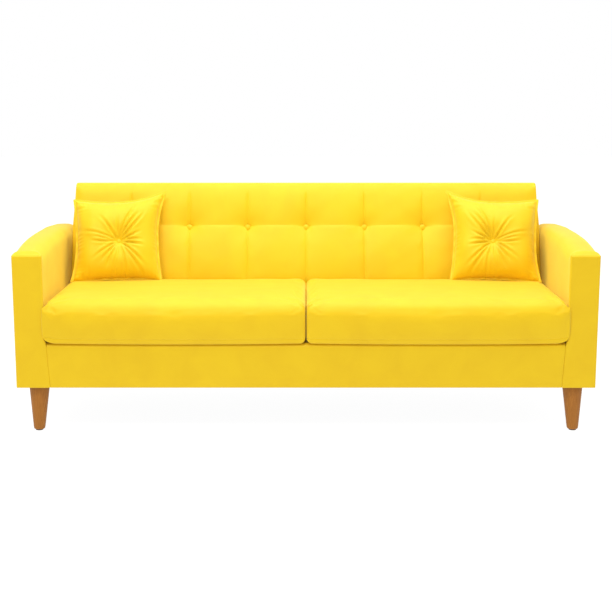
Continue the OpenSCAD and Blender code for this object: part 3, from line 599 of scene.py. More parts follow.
def arm_shape():
    low, high = arm_lo, arm_hi
    xs = ruled(low[0], high[0], 0.012, np.concatenate([low[0] + NEAR_EDGE, high[0] - NEAR_EDGE]), 0.027)
    ys = ruled(low[1], high[1], 0.016, np.concatenate([low[1] + NEAR_PANEL, high[1] - NEAR_EDGE]))
    zs = ruled(low[2], high[2], 0.014, np.concatenate([low[2] + NEAR_EDGE, high[2] - NEAR_EDGE]), 0.036)
    points, quads = box_grid(xs, ys, zs)
    behind = points[:, 1] - low[1]
    grow = ramp(behind, PANEL_EDGE, ROUNDED_BY)
    points, facing = round_edges(points, low, high, (
        ((0, 2), (-1, 1), BARELY_ROUND + INNER_ROUND * grow),
        ((0, 2), (1, 1), BARELY_ROUND + OUTER_ROUND * grow),
        ((0, 1), (-1, -1), PANEL_EDGE),
        ((0, 1), (1, -1), PANEL_EDGE),
        ((1, 2), (-1, 1), PANEL_EDGE),
        ((1, 2), (-1, -1), PANEL_EDGE),
        ((0, 2), (-1, -1), PANEL_EDGE),
        ((0, 2), (1, -1), PANEL_EDGE)))
    upper = ramp(points[:, 2], PUFF_FROM, high[2])
    points[:, 2] += ARM_PUFF * upper * (0.5 * ramp(behind, 3 * MM, 0.034) + 0.5 * ramp(behind, 0.01, 0.26))
    lengthwise = np.clip(behind / (high[1] - low[1]), 0, 1)
    points[:, 2] += ARM_CROWN * upper * np.sin(math.pi * lengthwise ** 0.95)
    points = round_edge(points, (1, 2), (high[1], high[2] + ARM_PUFF), (1, 1), REAR_ROUND)
    across = (points[:, 0] - (low[0] + high[0]) / 2) / (high[0] - low[0]) * 2
    points[:, 2] += CENTRE_RISE * upper * grow * (1 - across ** 2)
    outwards = np.sign(across) * ramp(np.abs(across), 0.8, 1)
    over = ramp(points[:, 2], high[2] - 0.03, high[2] - 2 * MM) * (1 - np.abs(outwards))
    groove = PANEL_GROOVE * bell(behind, GROOVE_BEHIND, GROOVE_WIDTH)
    points[:, 0] -= groove * outwards
    points[:, 2] -= groove * over
    soft = grow * ramp(points[:, 2], 0.30, 0.5)
    points += facing * (ARM_WAVES * soft * soft_waves(points, 0.33, 3))[:, None]
    tuck = panel_tuck(points[:, 2]) * (1 - ramp(behind, 0.012, 0.02))
    points[:, 0] -= tuck * (1 - ramp(points[:, 0], low[0], low[0] + 0.03))
    return points, quads


ARM = arm_shape()
for side, sign in SIDES.items():
    points, quads = ARM if sign > 0 else mirrored(*ARM)
    arm = mesh_object(f"arm_{side}_upholstery", points, quads)
    dress(arm, "sofa", VELVET, (f"arm_{side}_cover", f"arm_{side}_foam"))

# %% [markdown]
# ## Front rail and deck
# Under the cushions a padded band covers the front rail and turns over its top onto the deck. The deck
# itself is plain platform cloth over the springs, which only shows when a cushion is lifted.

# %% Front rail and deck
RAIL_TOP_ROUND = 16 * MM
RAIL_FOOT_ROUND = 5 * MM
RAIL_PROUD = 1.6 * MM
RAIL_WAVES = 0.7 * MM
DECK_ROUND = 6 * MM


def front_rail_shape():
    low, high = rail_lo, rail_hi
    xs = ruled(low[0], high[0], 0.03, np.concatenate([low[0] + NEAR_PANEL, high[0] - NEAR_PANEL]))
    ys = ruled(low[1], high[1], 0.012, np.concatenate([low[1] + NEAR_EDGE * 4, high[1] - NEAR_EDGE]))
    zs = ruled(low[2], high[2], 0.012, np.concatenate([low[2] + NEAR_EDGE, high[2] - NEAR_EDGE * 4]))
    points, quads = box_grid(xs, ys, zs)
    points, facing = round_edges(points, low, high, (((1, 2), (-1, 1), RAIL_TOP_ROUND),
                                                     ((1, 2), (-1, -1), RAIL_FOOT_ROUND)))
    width = (high[0] - panel_tuck(points[:, 2])) / high[0]
    points[:, 0] *= width
    height = (points[:, 2] - low[2]) / (high[2] - low[2])
    face = np.clip(-facing[:, 1], 0, 1) * np.sin(math.pi * np.clip(height, 0, 1)) ** 0.7
    points[:, 1] -= face * (RAIL_PROUD + RAIL_WAVES * soft_waves(points, 0.5, 11))
    return points, quads


front_band = mesh_object("front_rail_upholstery", *front_rail_shape())
dress(front_band, "sofa", VELVET, ("front_rail_cover", "front_rail_foam"))


def deck_shape():
    points, quads = box_grid(ruled(deck_lo[0], deck_hi[0], 0.03, edge=DECK_ROUND),
                             ruled(deck_lo[1], deck_hi[1], 0.03, edge=DECK_ROUND),
                             ruled(deck_lo[2], deck_hi[2], 0.012, edge=DECK_ROUND))
    points, facing = rounded(points, deck_lo, deck_hi, DECK_ROUND)
    sink = np.clip(facing[:, 2], 0, 1) * ramp(np.minimum(points[:, 1] - deck_lo[1],
                                                        deck_hi[1] - points[:, 1]), 0, 0.08)
    points[:, 2] -= sink * (2.5 * MM + 1.2 * MM * soft_waves(points, 0.25, 5))
    return points, quads


deck = mesh_object("seat_deck", *deck_shape())
dress(deck, "sofa", PLATFORM, ("seat_deck_pad",))

# %% [markdown]
# ## Pieces in a row
# Zip teeth are one small block repeated along a path. Geometry Nodes can do that: the path is
# resampled to even steps, and a block is placed on every step and turned to the path. The tree is
# built once, and its inputs set the block's size, spacing and finish.

# %% A Geometry Nodes tree for rows
def row_tree():
    tree = bpy.data.node_groups.new("row along a path", "GeometryNodeTree")
    tree.interface.new_socket("Geometry", in_out="INPUT", socket_type="NodeSocketGeometry")
    for label, kind in (("Pitch", "NodeSocketFloat"), ("Size", "NodeSocketVector"),
                        ("Finish", "NodeSocketMaterial")):
        tree.interface.new_socket(label, in_out="INPUT", socket_type=kind)
    tree.interface.new_socket("Geometry", in_out="OUTPUT", socket_type="NodeSocketGeometry")
    given = tree.nodes.new("NodeGroupInput").outputs
    result = tree.nodes.new("NodeGroupOutput")
    path = add(tree, "GeometryNodeMeshToCurve", Mesh=given["Geometry"])
    steps = add(tree, "GeometryNodeResampleCurve", {"mode": "LENGTH"}, Curve=path.outputs["Curve"],
                Length=given["Pitch"])
    along = tree.nodes.new("GeometryNodeInputTangent").outputs["Tangent"]
    turn = add(tree, "FunctionNodeAlignRotationToVector", {"axis": "X"}, Vector=along)
    block = add(tree, "GeometryNodeMeshCube", Size=(1.0, 1.0, 1.0))
    placed = add(tree, "GeometryNodeInstanceOnPoints", Points=steps.outputs["Curve"],
                 Instance=block.outputs["Mesh"], Rotation=turn.outputs["Rotation"],
                 Scale=given["Size"])
    real = add(tree, "GeometryNodeRealizeInstances", Geometry=placed.outputs["Instances"])
    done = add(tree, "GeometryNodeSetMaterial", Geometry=real.outputs["Geometry"],
               Material=given["Finish"])
    tree.links.new(done.outputs["Geometry"], result.inputs["Geometry"])
    return tree


ROW = row_tree()


def row_along(name, paths, finish, pitch, size):
    """Small blocks along open paths of points."""
    points, edges = [], []
    for path in paths:
        start = len(points)
        points += [tuple(p) for p in path]
        edges += [(n, n + 1) for n in range(start, len(points) - 1)]
    mesh = bpy.data.meshes.new(name)
    mesh.from_pydata(points, edges, [])
    piece = bpy.data.objects.new(name, mesh)
    scene.collection.objects.link(piece)
    nodes = piece.modifiers.new("Row", "NODES")
    nodes.node_group = ROW
    values = {"Pitch": pitch, "Size": size, "Finish": finish}
    for item in ROW.interface.items_tree:
        if item.in_out == "INPUT" and item.name in values:
            nodes[item.identifier] = values[item.name]
    return as_plain_mesh(piece)


# %% [markdown]
# ## Seat cushions
# A seat cushion is a foam block in a boxed cover: a top, a bottom and a band round the sides, sewn
# together. The edge over the front is soft with no seam, and the boxing seam runs low down, about two
# fingers above the bottom edge. The block is ruled, swollen by cloth simulation while its bottom and
# rear are held, creased along the seam, and kept flat against its neighbours. The left cushion is the
# mirror image of the right one.

# %% Shape of a seat cushion
CUSHION_ROUND = 13 * MM
LIP_ROUND = 6 * MM
TOP_FRONT_ROUND = 42 * MM
TOP_REAR_ROUND = 22 * MM
TOP_OUTER_ROUND = 24 * MM
TOP_INNER_ROUND = 20 * MM
REAR_INNER_ROUND = 30 * MM
REAR_DROP = 5 * MM
BOTTOM_OUTER_ROUND = 38 * MM
BOTTOM_INNER_ROUND = 20 * MM
BOTTOM_SAG = 4 * MM
SIDE_SWELL = 8 * MM
SEAM_UP = 19 * MM
SEAM_HALF = 2.2 * MM
FRONT_PROUD = 10 * MM
FRONT_SWELL = 5 * MM
TOP_CROWN = 2.5 * MM
HELD_BELOW = 6 * MM
HELD_BEHIND = 4 * MM
SEAM_DEPTH = 1.4 * MM
PUCKER_DEPTH = 1.1 * MM
PUCKER_UP = 11 * MM


def marked(piece, name, values):
    piece.data.attributes.new(name, "FLOAT", "POINT").data.foreach_set("value", values.astype(float))


def marks_of(piece, name):
    values = np.empty(len(piece.data.vertices))
    piece.data.attributes[name].data.foreach_get("value", values)
    return values


def cushion_shape():
    low, high = cushion_lo, cushion_hi
    seam = low[2] + SEAM_UP + np.array([-3, -2, -1, 0, 1, 2, 3]) * SEAM_HALF
    corner = np.array([17, 21, 26, 32, 39, 46]) * MM
    xs = ruled(low[0], high[0], 0.015, np.concatenate([low[0] + corner, high[0] - corner]), CUSHION_ROUND)
    ys = ruled(low[1], high[1], 0.015, low[1] + corner, CUSHION_ROUND)
    zs = ruled(low[2], high[2], 0.012, np.concatenate([seam, high[2] - corner]), CUSHION_ROUND)
    points, quads = box_grid(xs, ys, zs)
    above_seam = points[:, 2] - seam[3]
    points, _ = round_edges(points, low, high, (
        ((0, 2), (1, 1), TOP_OUTER_ROUND),
        ((0, 2), (-1, 1), TOP_INNER_ROUND),
        ((0, 2), (1, -1), BOTTOM_OUTER_ROUND),
        ((0, 2), (-1, -1), BOTTOM_INNER_ROUND),
        ((1, 2), (-1, 1), TOP_FRONT_ROUND),
        ((1, 2), (1, 1), TOP_REAR_ROUND),
        ((1, 2), (-1, -1), CUSHION_ROUND),
        ((1, 2), (1, -1), CUSHION_ROUND),
        ((0, 1), (1, -1), LIP_ROUND),
        ((0, 1), (-1, -1), CUSHION_ROUND),
        ((0, 1), (1, 1), CUSHION_ROUND),
        ((0, 1), (-1, 1), REAR_INNER_ROUND)))
    share = np.clip((points - low) / (high - low), 0, 1)
    swell_x, swell_z = (1 - np.abs(2 * share[:, n] - 1) ** 4 for n in (0, 2))
    forward = np.sin(math.pi * np.clip(share[:, 1] * 1.3, 0, 1))
    points[:, 1] -= FRONT_PROUD * (1 - ramp(points[:, 1], low[1] + 0.01, low[1] + 0.12))
    points[:, 1] -= FRONT_SWELL * (1 - ramp(points[:, 1], low[1], low[1] + 0.06)) * swell_x * swell_z
    points[:, 2] += ramp(share[:, 2], 0.5, 1) * (TOP_CROWN * forward * swell_x
                                                 - REAR_DROP * ramp(share[:, 1], 0.35, 1))
    return points, quads, above_seam


points, quads, above_seam = cushion_shape()
cushion = mesh_object("seat_cushion_right_upholstery", points, quads)
marked(cushion, "above_seam", above_seam)
held = (points[:, 2] < cushion_lo[2] + HELD_BELOW) | (points[:, 1] > cushion_hi[1] - HELD_BEHIND)
swell(cushion, held, pressure=0.4, limit=6 * MM, stiffness=14)
subdivided(cushion)


def finish_cushion(piece):
    """Creases the seam, presses the sides flat, and lets the front hang over the rail and the arm."""
    points = points_of(piece)
    above = marks_of(piece, "above_seam")
    normals = np.empty(len(points) * 3)
    piece.data.vertices.foreach_get("normal", normals)
    normals = normals.reshape(-1, 3)
    level = 1 - np.abs(normals[:, 2])
    run = points[:, 0] - points[:, 1]
    pucker = 1 + 0.35 * np.sin(run * math.tau / 0.041 + 2 * np.sin(run * math.tau / 0.29))
    groove = SEAM_DEPTH * bell(above, 0, SEAM_HALF) * ramp(level, 0.1, 0.5)
    beside = PUCKER_DEPTH * bell(above, PUCKER_UP, PUCKER_UP) * (pucker - 1) * ramp(level, 0.1, 0.5)
    points += normals * (beside - groove)[:, None]
    faces = ramp(points[:, 2], cushion_lo[2] + 0.03, cushion_lo[2] + 0.07)
    points += normals * (faces * 0.9 * MM * soft_waves(points, 0.24, 21))[:, None]
    points[:, 0] = np.clip(points[:, 0], cushion_lo[0], cushion_hi[0])
    points[:, 1] = np.minimum(points[:, 1], cushion_hi[1])
    points[:, 2] = np.maximum(points[:, 2], cushion_lo[2])
    proud = ramp(FRONT - points[:, 1], -9 * MM, 2 * MM)
    middle = (cushion_lo + cushion_hi) / 2
    across = np.clip(np.abs(points[:, 0] - middle[0]) / (cushion_hi[0] - middle[0]), 0, 1)
    lowness = 1 - ramp(points[:, 2], cushion_lo[2] + 0.01, cushion_lo[2] + 0.07)
    points[:, 2] -= BOTTOM_SAG * proud * lowness * (1 - across ** 2.5)
    past_arm = ramp(FRONT - points[:, 1], -1 * MM, 4 * MM)
    points[:, 0] += SIDE_SWELL * past_arm * ramp(points[:, 0], cushion_hi[0] - 0.04, cushion_hi[0])
    move_points(piece, points)
    return points


points = finish_cushion(cushion)
quads = quads_of(cushion)
other = mesh_object("seat_cushion_left_upholstery", *mirrored(points, quads))
for side, piece in (("right", cushion), ("left", other)):
    dress(piece, f"seat_cushion_{side}", VELVET,
          (f"seat_cushion_{side}_cover", f"seat_cushion_{side}_foam"))
print("cushion spans", points.min(0).round(4), points.max(0).round(4))

# %% [markdown]
# ## The tufted back
# The back is one padded panel that leans away above the cushions. A row of buttons is tied through it,
# and a faint fold runs up and down from each button, so the panel reads as soft blocks. The panel is
# ruled and creased by formula, and then swollen while the buttons and the border are held. Swelling
# softens the upright folds, so they are creased a little more afterwards.

# %% Where the buttons sit
BUTTONS = 7
BUTTON_SIZE = 24 * MM
button_lo, button_hi = (np.array(v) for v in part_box("back_buttons"))
button_xs = np.linspace(button_lo[0] + BUTTON_SIZE / 2, button_hi[0] - BUTTON_SIZE / 2, BUTTONS)
pitch = button_xs[1] - button_xs[0]
TOP_DEPTH = 0.113
BACK_REAR = back_hi[1]
KINK = cushion_hi[2] - 16 * MM
SLOPE = (BACK_REAR - back_lo[1] - TOP_DEPTH) / (back_hi[2] - KINK)
LEAN = math.atan(SLOPE)
OUT_OF_BACK = np.array([0, -math.cos(LEAN), math.sin(LEAN)])


def back_front(z):
    """Depth of the front of the back at height z."""
    return back_lo[1] + np.maximum(z - KINK, 0) * SLOPE


TUFT_IN_CAD = 24 * MM
button_middle = (button_lo + button_hi) / 2
button_row = button_middle[2] + (TUFT_IN_CAD - 3 * MM) * math.sin(LEAN)
print("buttons", pitch.round(4), "row height", round(button_row, 4), "lean", round(math.degrees(LEAN), 1))


# %% Shape of the back
TUFT_DEPTH = 17 * MM
TUFT_WIDTH = 21 * MM
TOP_ROUND = 22 * MM
BACK_TAPER = 9 * MM
CREASE_UP = 4.2 * MM
CREASE_AFTER = 3 * MM
TOP_RISE = 10 * MM
CREASE_ACROSS = 7 * MM
CREASE_BOW = 5 * MM
PANEL_ROUND = 4 * MM
BULGE = 6 * MM
BULGE_DOWN = 0.075
BULGE_WIDTH = 0.085
ARM_TOP = round(arm_hi[2], 3)


def from_button(points):
    """How far each point is to the side of its nearest button, and how far up the slope from it."""
    nearest = np.clip(np.round((points[:, 0] - button_xs[0]) / pitch), 0, BUTTONS - 1)
    aside = points[:, 0] - (button_xs[0] + nearest * pitch)
    return aside, (points[:, 2] - button_row) / math.cos(LEAN)


def upright_folds(aside, above):
    """Steep on one side and gentle on the other, and gone at the very top."""
    gentle, steep = np.where(aside > 0, 26 * MM, 7 * MM), 3 * MM
    fold = 0.55 * np.exp(-np.abs(aside) / gentle) + 0.45 * np.exp(-np.abs(aside) / steep)
    return fold * (1 - ramp(above, 0.12, 0.17))


def tuft_pull(points):
    """How far each point of the back is drawn in by the buttons and the folds between them."""
    aside, above = from_button(points)
    reach = np.hypot(aside, above)
    pull = TUFT_DEPTH * np.exp(-((reach / TUFT_WIDTH) ** 1.2))
    pull += CREASE_UP * upright_folds(aside, above)
    halfway = np.clip(np.abs(aside) / (pitch / 2), 0, 1)
    over_fold = above - CREASE_BOW * np.sin(math.pi / 2 * halfway) - 2 * MM
    fold = np.exp(-np.abs(over_fold) / np.where(over_fold > 0, 30 * MM, 5 * MM))
    strength = (0.42 + 0.58 * np.exp(-np.abs(aside) / 0.05)) * (1 - ramp(np.abs(points[:, 0]), 0.80, 0.92))
    return pull + CREASE_ACROSS * fold * strength


def back_shape():
    low = np.array([back_lo[0], BACK_REAR - TOP_DEPTH, back_lo[2]])
    high = back_hi
    fan = np.array([-22, -11, -5, -2, 0, 2, 5, 11, 22]) * MM
    near = np.concatenate([fan + x for x in button_xs])
    xs = ruled(low[0], high[0], 0.014, near, PANEL_ROUND)
    ys = ruled(low[1], high[1], 0.014, edge=PANEL_ROUND)
    rows = button_row + np.concatenate([fan, np.array([3.5, 6.5, 8, 14]) * MM])
    zs = ruled(low[2], high[2], 0.012, np.concatenate([rows, high[2] - NEAR_EDGE]), TOP_ROUND)
    points, quads = box_grid(xs, ys, zs)
    points, facing = rounded(points, low, high, PANEL_ROUND)
    points = round_edge(points, (1, 2), (low[1], high[2]), (-1, 1), TOP_ROUND)
    front = np.clip(-facing[:, 1], 0, 1) * ramp(BACK_REAR - points[:, 1], 0.07, 0.10)
    upper = ramp(points[:, 2], ARM_TOP, high[2])
    share = (BACK_REAR - points[:, 1]) / TOP_DEPTH
    depth = BACK_REAR - back_front(points[:, 2])
    points[:, 1] = BACK_REAR - share * depth
    points[:, 2] += TOP_RISE * share * ramp(points[:, 2], 0.74, high[2])
    points[:, 0] *= 1 - BACK_TAPER * upper / high[0]
    bulge = BULGE * bell(points[:, 2], button_row - BULGE_DOWN, BULGE_WIDTH)
    points += OUT_OF_BACK * (front * (bulge - tuft_pull(points)))[:, None]
    return points, quads, front


points, quads, front = back_shape()
back = mesh_object("inside_back_upholstery", points, quads)
held = (front < 0.4) | (points[:, 2] < KINK - 0.03)
for x in button_xs:
    held |= np.hypot(points[:, 0] - x, (points[:, 2] - button_row)) < BUTTON_SIZE * 0.5
swell(back, held, pressure=3.5, limit=8 * MM, stiffness=10, bending=0.2)
subdivided(back)
points = points_of(back)
front = ramp(BACK_REAR - points[:, 1], 0.09, 0.12)
points += OUT_OF_BACK * (front * MM * soft_waves(points, 0.2, 8))[:, None]
points -= OUT_OF_BACK * (front * CREASE_AFTER * upright_folds(*from_button(points)))[:, None]
move_points(back, points)
dress(back, "sofa", VELVET, ("inside_back_cover", "back_foam"))

# %% [markdown]
# ## Outside back
# The outside of the back is one flat cloth over a board, pulled tight and blind-stitched down both
# sides and along the top. It has hardly any padding, so it is nearly flat, and its edges turn in.

# %% Outside back
def outside_back_shape():
    low, high = (np.array(v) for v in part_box("outside_back_cover"))
    low = np.array([low[0], high[1] - 8 * MM, low[2]])
    points, quads = box_grid(ruled(low[0], high[0], 0.03, edge=4 * MM), ruled(low[1], high[1], 0.004),
                             ruled(low[2], high[2], 0.03, edge=4 * MM))
    points, facing = rounded(points, low, high, 3.5 * MM)
    upper = ramp(points[:, 2], ARM_TOP, high[2])
    points[:, 0] *= 1 - BACK_TAPER * upper / high[0]
    slack = np.clip(facing[:, 1], 0, 1) * ramp(high[0] - np.abs(points[:, 0]), 0, 0.05)
    points[:, 1] += slack * (1.2 * MM + 0.8 * MM * soft_waves(points, 0.6, 17))
    return points, quads


outside = mesh_object("outside_back", *outside_back_shape())
dress(outside, "sofa", VELVET, ("outside_back_cover",))


# %% [markdown]
# ## Turned shapes
# Buttons and legs are turned, each a profile spun round an axis. The points are computed ring by ring, and
# the two poles are closed, so each shape is a sound closed solid.

# %% Turned shapes
BUTTON_SIDES = 24
LEG_SIDES = 56


def turned(profile, sides, place=None):
    """Spins (radius, height) pairs, the first and last at radius 0. place maps points onward."""
    angles = np.arange(sides) / sides * math.tau
    points = [np.array([0.0, 0.0, profile[0][1]])]
    for radius, height in profile[1:-1]:
        points += [np.array([radius * math.cos(a), radius * math.sin(a), height]) for a in angles]
    points.append(np.array([0.0, 0.0, profile[-1][1]]))
    rings = len(profile) - 2
    faces = []
    for n in range(sides):
        after = (n + 1) % sides
        faces.append((0, 1 + after, 1 + n))
        for ring in range(rings - 1):
            at = 1 + ring * sides
            faces.append((at + n, at + after, at + sides + after, at + sides + n))
        top = 1 + (rings - 1) * sides
        faces.append((top + n, top + after, len(points) - 1))
    points = np.array(points)
    return (place(points) if place else points), faces


def joined(name, shapes):
    """One object from several (points, faces) shapes."""
    points, faces = [], []
    for shape_points, shape_faces in shapes:
        start = len(points)
        points += [tuple(p) for p in shape_points]
        faces += [tuple(int(i) + start for i in face) for face in shape_faces]
    return mesh_object(name, points, faces)


def button_profile(size, thick):
    """A covered button: a flat base, a full edge and a low dome."""
    radius = size / 2
    edge = [(radius * (0.86 + 0.14 * math.sin(a)), thick * (0.3 - 0.3 * math.cos(a)))
            for a in np.linspace(0, math.pi * 0.6, 5)]
    dome = [(radius * r, thick * (1 - 0.6 * r ** 2.6)) for r in (0.9, 0.75, 0.55, 0.35, 0.15)]
    return [(0, 0), *edge, *dome, (0, thick)]


def along(way, middle):
    """A placing that turns local Z to a direction and moves the shape to a middle."""
    turn = np.array(Vector(way).to_track_quat("Z", "Y").to_matrix())
    return lambda points: points @ turn.T + middle


shapes = []
for x in button_xs:
    middle = np.array([x, back_front(button_row), button_row]) - OUT_OF_BACK * (TUFT_DEPTH - 1 * MM)
    shapes.append(turned(button_profile(BUTTON_SIZE, 6 * MM), BUTTON_SIDES, along(OUT_OF_BACK, middle)))
buttons = joined("back_button_caps", shapes)
dress(buttons, "sofa", VELVET, ("back_buttons",))


# %% [markdown]
# ## Legs
# The legs are plain tapered cones of oiled hardwood, wider at the top and splayed a little outwards. The
# foot has a small rounding above its glide, and the top meets the underside level.

# %% Legs
LEG_TOP = 74 * MM / 2
LEG_FOOT = 40 * MM / 2
LEG_SPLAY = math.radians(2.2)
FOOT_ROUND = 5 * MM


def leg_shape(sign, name):
    low, high = (np.array(v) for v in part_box(name))
    middle_y = (low[1] + high[1]) / 2
    top_x = (high[0] if sign > 0 else -low[0]) - LEG_TOP
    height = high[2]
    base = low[2]

    def radius(z):
        return LEG_FOOT + (LEG_TOP - LEG_FOOT) * z / height

    foot = [(radius(base) - FOOT_ROUND * (1 - math.sin(a)), base + FOOT_ROUND * (1 - math.cos(a)))
            for a in np.linspace(0, math.pi / 2, 6)]
    shaft = [(radius(z), z) for z in np.linspace(base + FOOT_ROUND * 2, height - 1.5 * MM, 9)]
    profile = [(0, base), *foot, *shaft, (LEG_TOP - 0.8 * MM, height), (0, height)]

    def place(points):
        shift = (height - points[:, 2]) * math.tan(LEG_SPLAY)
        return points + np.stack([sign * (top_x + shift), 0 * shift + middle_y, 0 * shift], 1)

    return turned(profile, LEG_SIDES, place)


for side, sign in SIDES.items():
    for end in ("front", "rear"):
        name = f"leg_{end}_{side}"
        leg = mesh_object(f"{name}_turned", *leg_shape(sign, name))
        dress(leg, "sofa", LEG_WOOD, (name,))

# %% [markdown]
# ## Throw pillows
# A throw pillow is two squares of velvet sewn round the edge with a narrow flange outside the seam,
# filled with fibre, and pulled in by a button on each face. The filling makes it thick in the middle and
# flat in the corners. It is swollen by simulation with its seam held, then gathered round the button
# and puckered along the seam by formula. One is made and the other is its mirror image.

# %% Where the pillows stand
PILLOW_LEAN = math.radians(26)
PILLOW_YAW = math.radians(8)
PILLOW_SIZE = 0.350
PILLOW_THICK = 0.150
FLANGE = 10 * MM
TUFT_DROP = 20 * MM
pillow_lo, pillow_hi = (np.array(v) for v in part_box("throw_pillow_right_cover"))
pillow_middle = (pillow_lo + pillow_hi) / 2
SETTLED = np.array([0, -8, -3]) * MM
ABOVE_FRAME_CUSHION = 0.5 * MM
pillow_turn = np.array(Matrix.Rotation(-PILLOW_YAW, 3, "Z")
                       @ Matrix.Rotation(math.pi / 2 - PILLOW_LEAN, 3, "X"))


def on_sofa(points):
    """Takes points from the pillow's own frame to its place on the right side of the sofa.

    It stands on the height of the frame's cushion. The visible cushion swells a few millimetres above
    that, so the foot of the pillow is a little inside it.
    """
    placed = points @ pillow_turn.T + pillow_middle + SETTLED
    seat = cushion_hi[2] + ABOVE_FRAME_CUSHION
    under = seat - placed[:, 2]
    placed[:, 2] = np.where(under > 0, seat - 0.1 * under, placed[:, 2])
    return placed


# %% Shape of a pillow
ACROSS = 64
DIMPLE_SHARE = 0.60
DIMPLE_REACH = 0.06
SEAM_THICK = 0.7 * MM
BUTTON_HOLD = 11 * MM
BOW = {"outer": 6 * MM, "inner": 17 * MM, "top": 15 * MM, "bottom": 5 * MM}
EARS = {(1, 1): (1, -3), (-1, 1): (-20, 28), (-1, -1): (7, -8), (1, -1): (18, -7)}


def drawn_outline(flat, half):
    """Draws the sides of a square in between its corners, and pulls the corners out as ears."""
    x, y = flat[:, 0] / half, flat[:, 1] / half
    moved = flat.copy()
    for axis, along_it, names in ((0, y, ("inner", "outer")), (1, x, ("bottom", "top"))):
        place = (x, y)[axis]
        pull = np.where(place > 0, BOW[names[1]], BOW[names[0]])
        moved[:, axis] -= np.clip(place, -1, 1) * pull * np.clip(1 - np.abs(along_it) ** 2.4, 0, 1)
    for (way_x, way_y), shift in EARS.items():
        near = np.clip(x * way_x, 0, 1) ** 2.2 * np.clip(y * way_y, 0, 1) ** 2.2
        moved += near[:, None] * np.array(shift) * MM
    return moved


def pillow_shape():
    sewn = np.sin(np.linspace(-1, 1, ACROSS) * math.pi / 2 * 0.92) / math.sin(math.pi / 2 * 0.92)
    half = PILLOW_SIZE / 2 - FLANGE
    rim = 1 + np.array([0.25, 0.6, 1.0]) * FLANGE / half
    u = np.concatenate([-rim[::-1], sewn, rim])
    count = len(u)
    last = count - 1
    a, b = (grid.ravel() for grid in np.meshgrid(np.arange(count), np.arange(count), indexing="ij"))
    x, y = np.clip(u[a], -1, 1), np.clip(u[b], -1, 1)
    full = np.clip((1 - x ** 2) * (1 - y ** 2), 0, 1) ** 0.48
    flat = drawn_outline(np.stack([u[a], u[b]], 1) * half, half)
    reach = np.hypot(flat[:, 0], flat[:, 1] + TUFT_DROP)
    dimple = DIMPLE_SHARE * np.exp(-((reach / DIMPLE_REACH) ** 1.2))
    lift = PILLOW_THICK / 2 * full * (1 - dimple) + SEAM_THICK
    on_rim = (a == 0) | (b == 0) | (a == last) | (b == last)
    number = np.full((2, count, count), -1)
    number[0, a, b] = np.arange(count * count)
    inner = ~on_rim
    number[1] = number[0]
    number[1, a[inner], b[inner]] = count * count + np.arange(inner.sum())
    front = np.concatenate([flat, np.where(on_rim, 0, lift)[:, None]], 1)
    rear = np.concatenate([flat, -lift[:, None]], 1)[inner]
    points = np.concatenate([front, rear])
    seam = np.concatenate([full, full[inner]])
    tuft = np.concatenate([reach, reach[inner]])
    quads = np.concatenate([plane_quads(number[0], False), plane_quads(number[1], True)])
    return points, quads, seam, tuft


points, quads, seam, tuft = pillow_shape()
pillow = mesh_object("throw_pillow_right_upholstery", points, quads)
marked(pillow, "fullness", seam)
held = (seam < 1e-6) | (tuft < BUTTON_HOLD)
swell(pillow, held, pressure=80.0, limit=9 * MM, stiffness=15, bending=0.1)
subdivided(pillow)


FOLDS = 19


def gathered(points, full):
    """Folds that run out from the button, and small puckers along the seam."""
    side = np.sign(points[:, 2])
    x, y = points[:, 0], points[:, 1] + TUFT_DROP
    reach, angle = np.hypot(x, y), np.arctan2(y, x)
    draw = np.random.default_rng(12)
    height = np.zeros(len(points))
    for number in range(FOLDS):
        start = (number + draw.uniform(-0.28, 0.28)) / FOLDS * math.tau
        bend, length = draw.uniform(-0.22, 0.22), draw.uniform(0.09, 0.21)
        depth = draw.uniform(3.0, 6.0) * MM
        turned_by = angle - start - bend * reach / 0.15 - 0.12 * side
        off = reach * np.sin(turned_by)
        width = 2.2 * MM + 0.024 * reach
        ahead = ramp(np.cos(turned_by), 0, 0.4)
        fade = ahead * ramp(reach, 4 * MM, 26 * MM) * (1 - ramp(reach, 0.45 * length, length))
        beside = (np.abs(off) - 2.1 * width) / width / 1.3
        valley = np.exp(-(off / width) ** 2) - 0.55 * np.exp(-beside ** 2)
        height -= depth * valley * fade
    run = np.where(np.abs(points[:, 0]) > np.abs(points[:, 1]), points[:, 1], points[:, 0])
    crowded = 0.55 + 0.45 * np.sin(run * math.tau / 0.19 + 1.3 + side)
    pucker = np.sin(run * math.tau / 0.019 + 2.6 * np.sin(run * math.tau / 0.11 + side))
    height += 1.9 * MM * pucker * crowded * ramp(full, 0, 0.15) * (1 - ramp(full, 0.22, 0.62))
    height += 2.2 * MM * ramp(full, 0.02, 0.2) * soft_waves(points, 0.15, 31)
    flange = ramp(0.012 - full, 0, 0.01)
    ripple = flange * 1.6 * MM * np.sin(run * math.tau / 0.055 + 1.5 * np.sin(run * math.tau / 0.23))
    points = points.copy()
    points[:, 2] += side * height + ripple
    return points


points = gathered(points_of(pillow), marks_of(pillow, "fullness"))
quads = quads_of(pillow)
front_face = points[:, 2] > 0
near_button = np.hypot(points[:, 0], points[:, 1] + TUFT_DROP) < 9 * MM
dents = [points[near_button & (front_face == face), 2].mean() for face in (True, False)]
points = on_sofa(points)
move_points(pillow, points)
other = mesh_object("throw_pillow_left_upholstery", *mirrored(points, quads))
for side, piece in (("right", pillow), ("left", other)):
    dress(piece, f"throw_pillow_{side}", VELVET,
          (f"throw_pillow_{side}_cover", f"throw_pillow_{side}_fill"))
print("pillow spans", points.min(0).round(4), points.max(0).round(4), "dents", np.round(dents, 4))

# %% Pillow buttons
PILLOW_BUTTON = 20 * MM


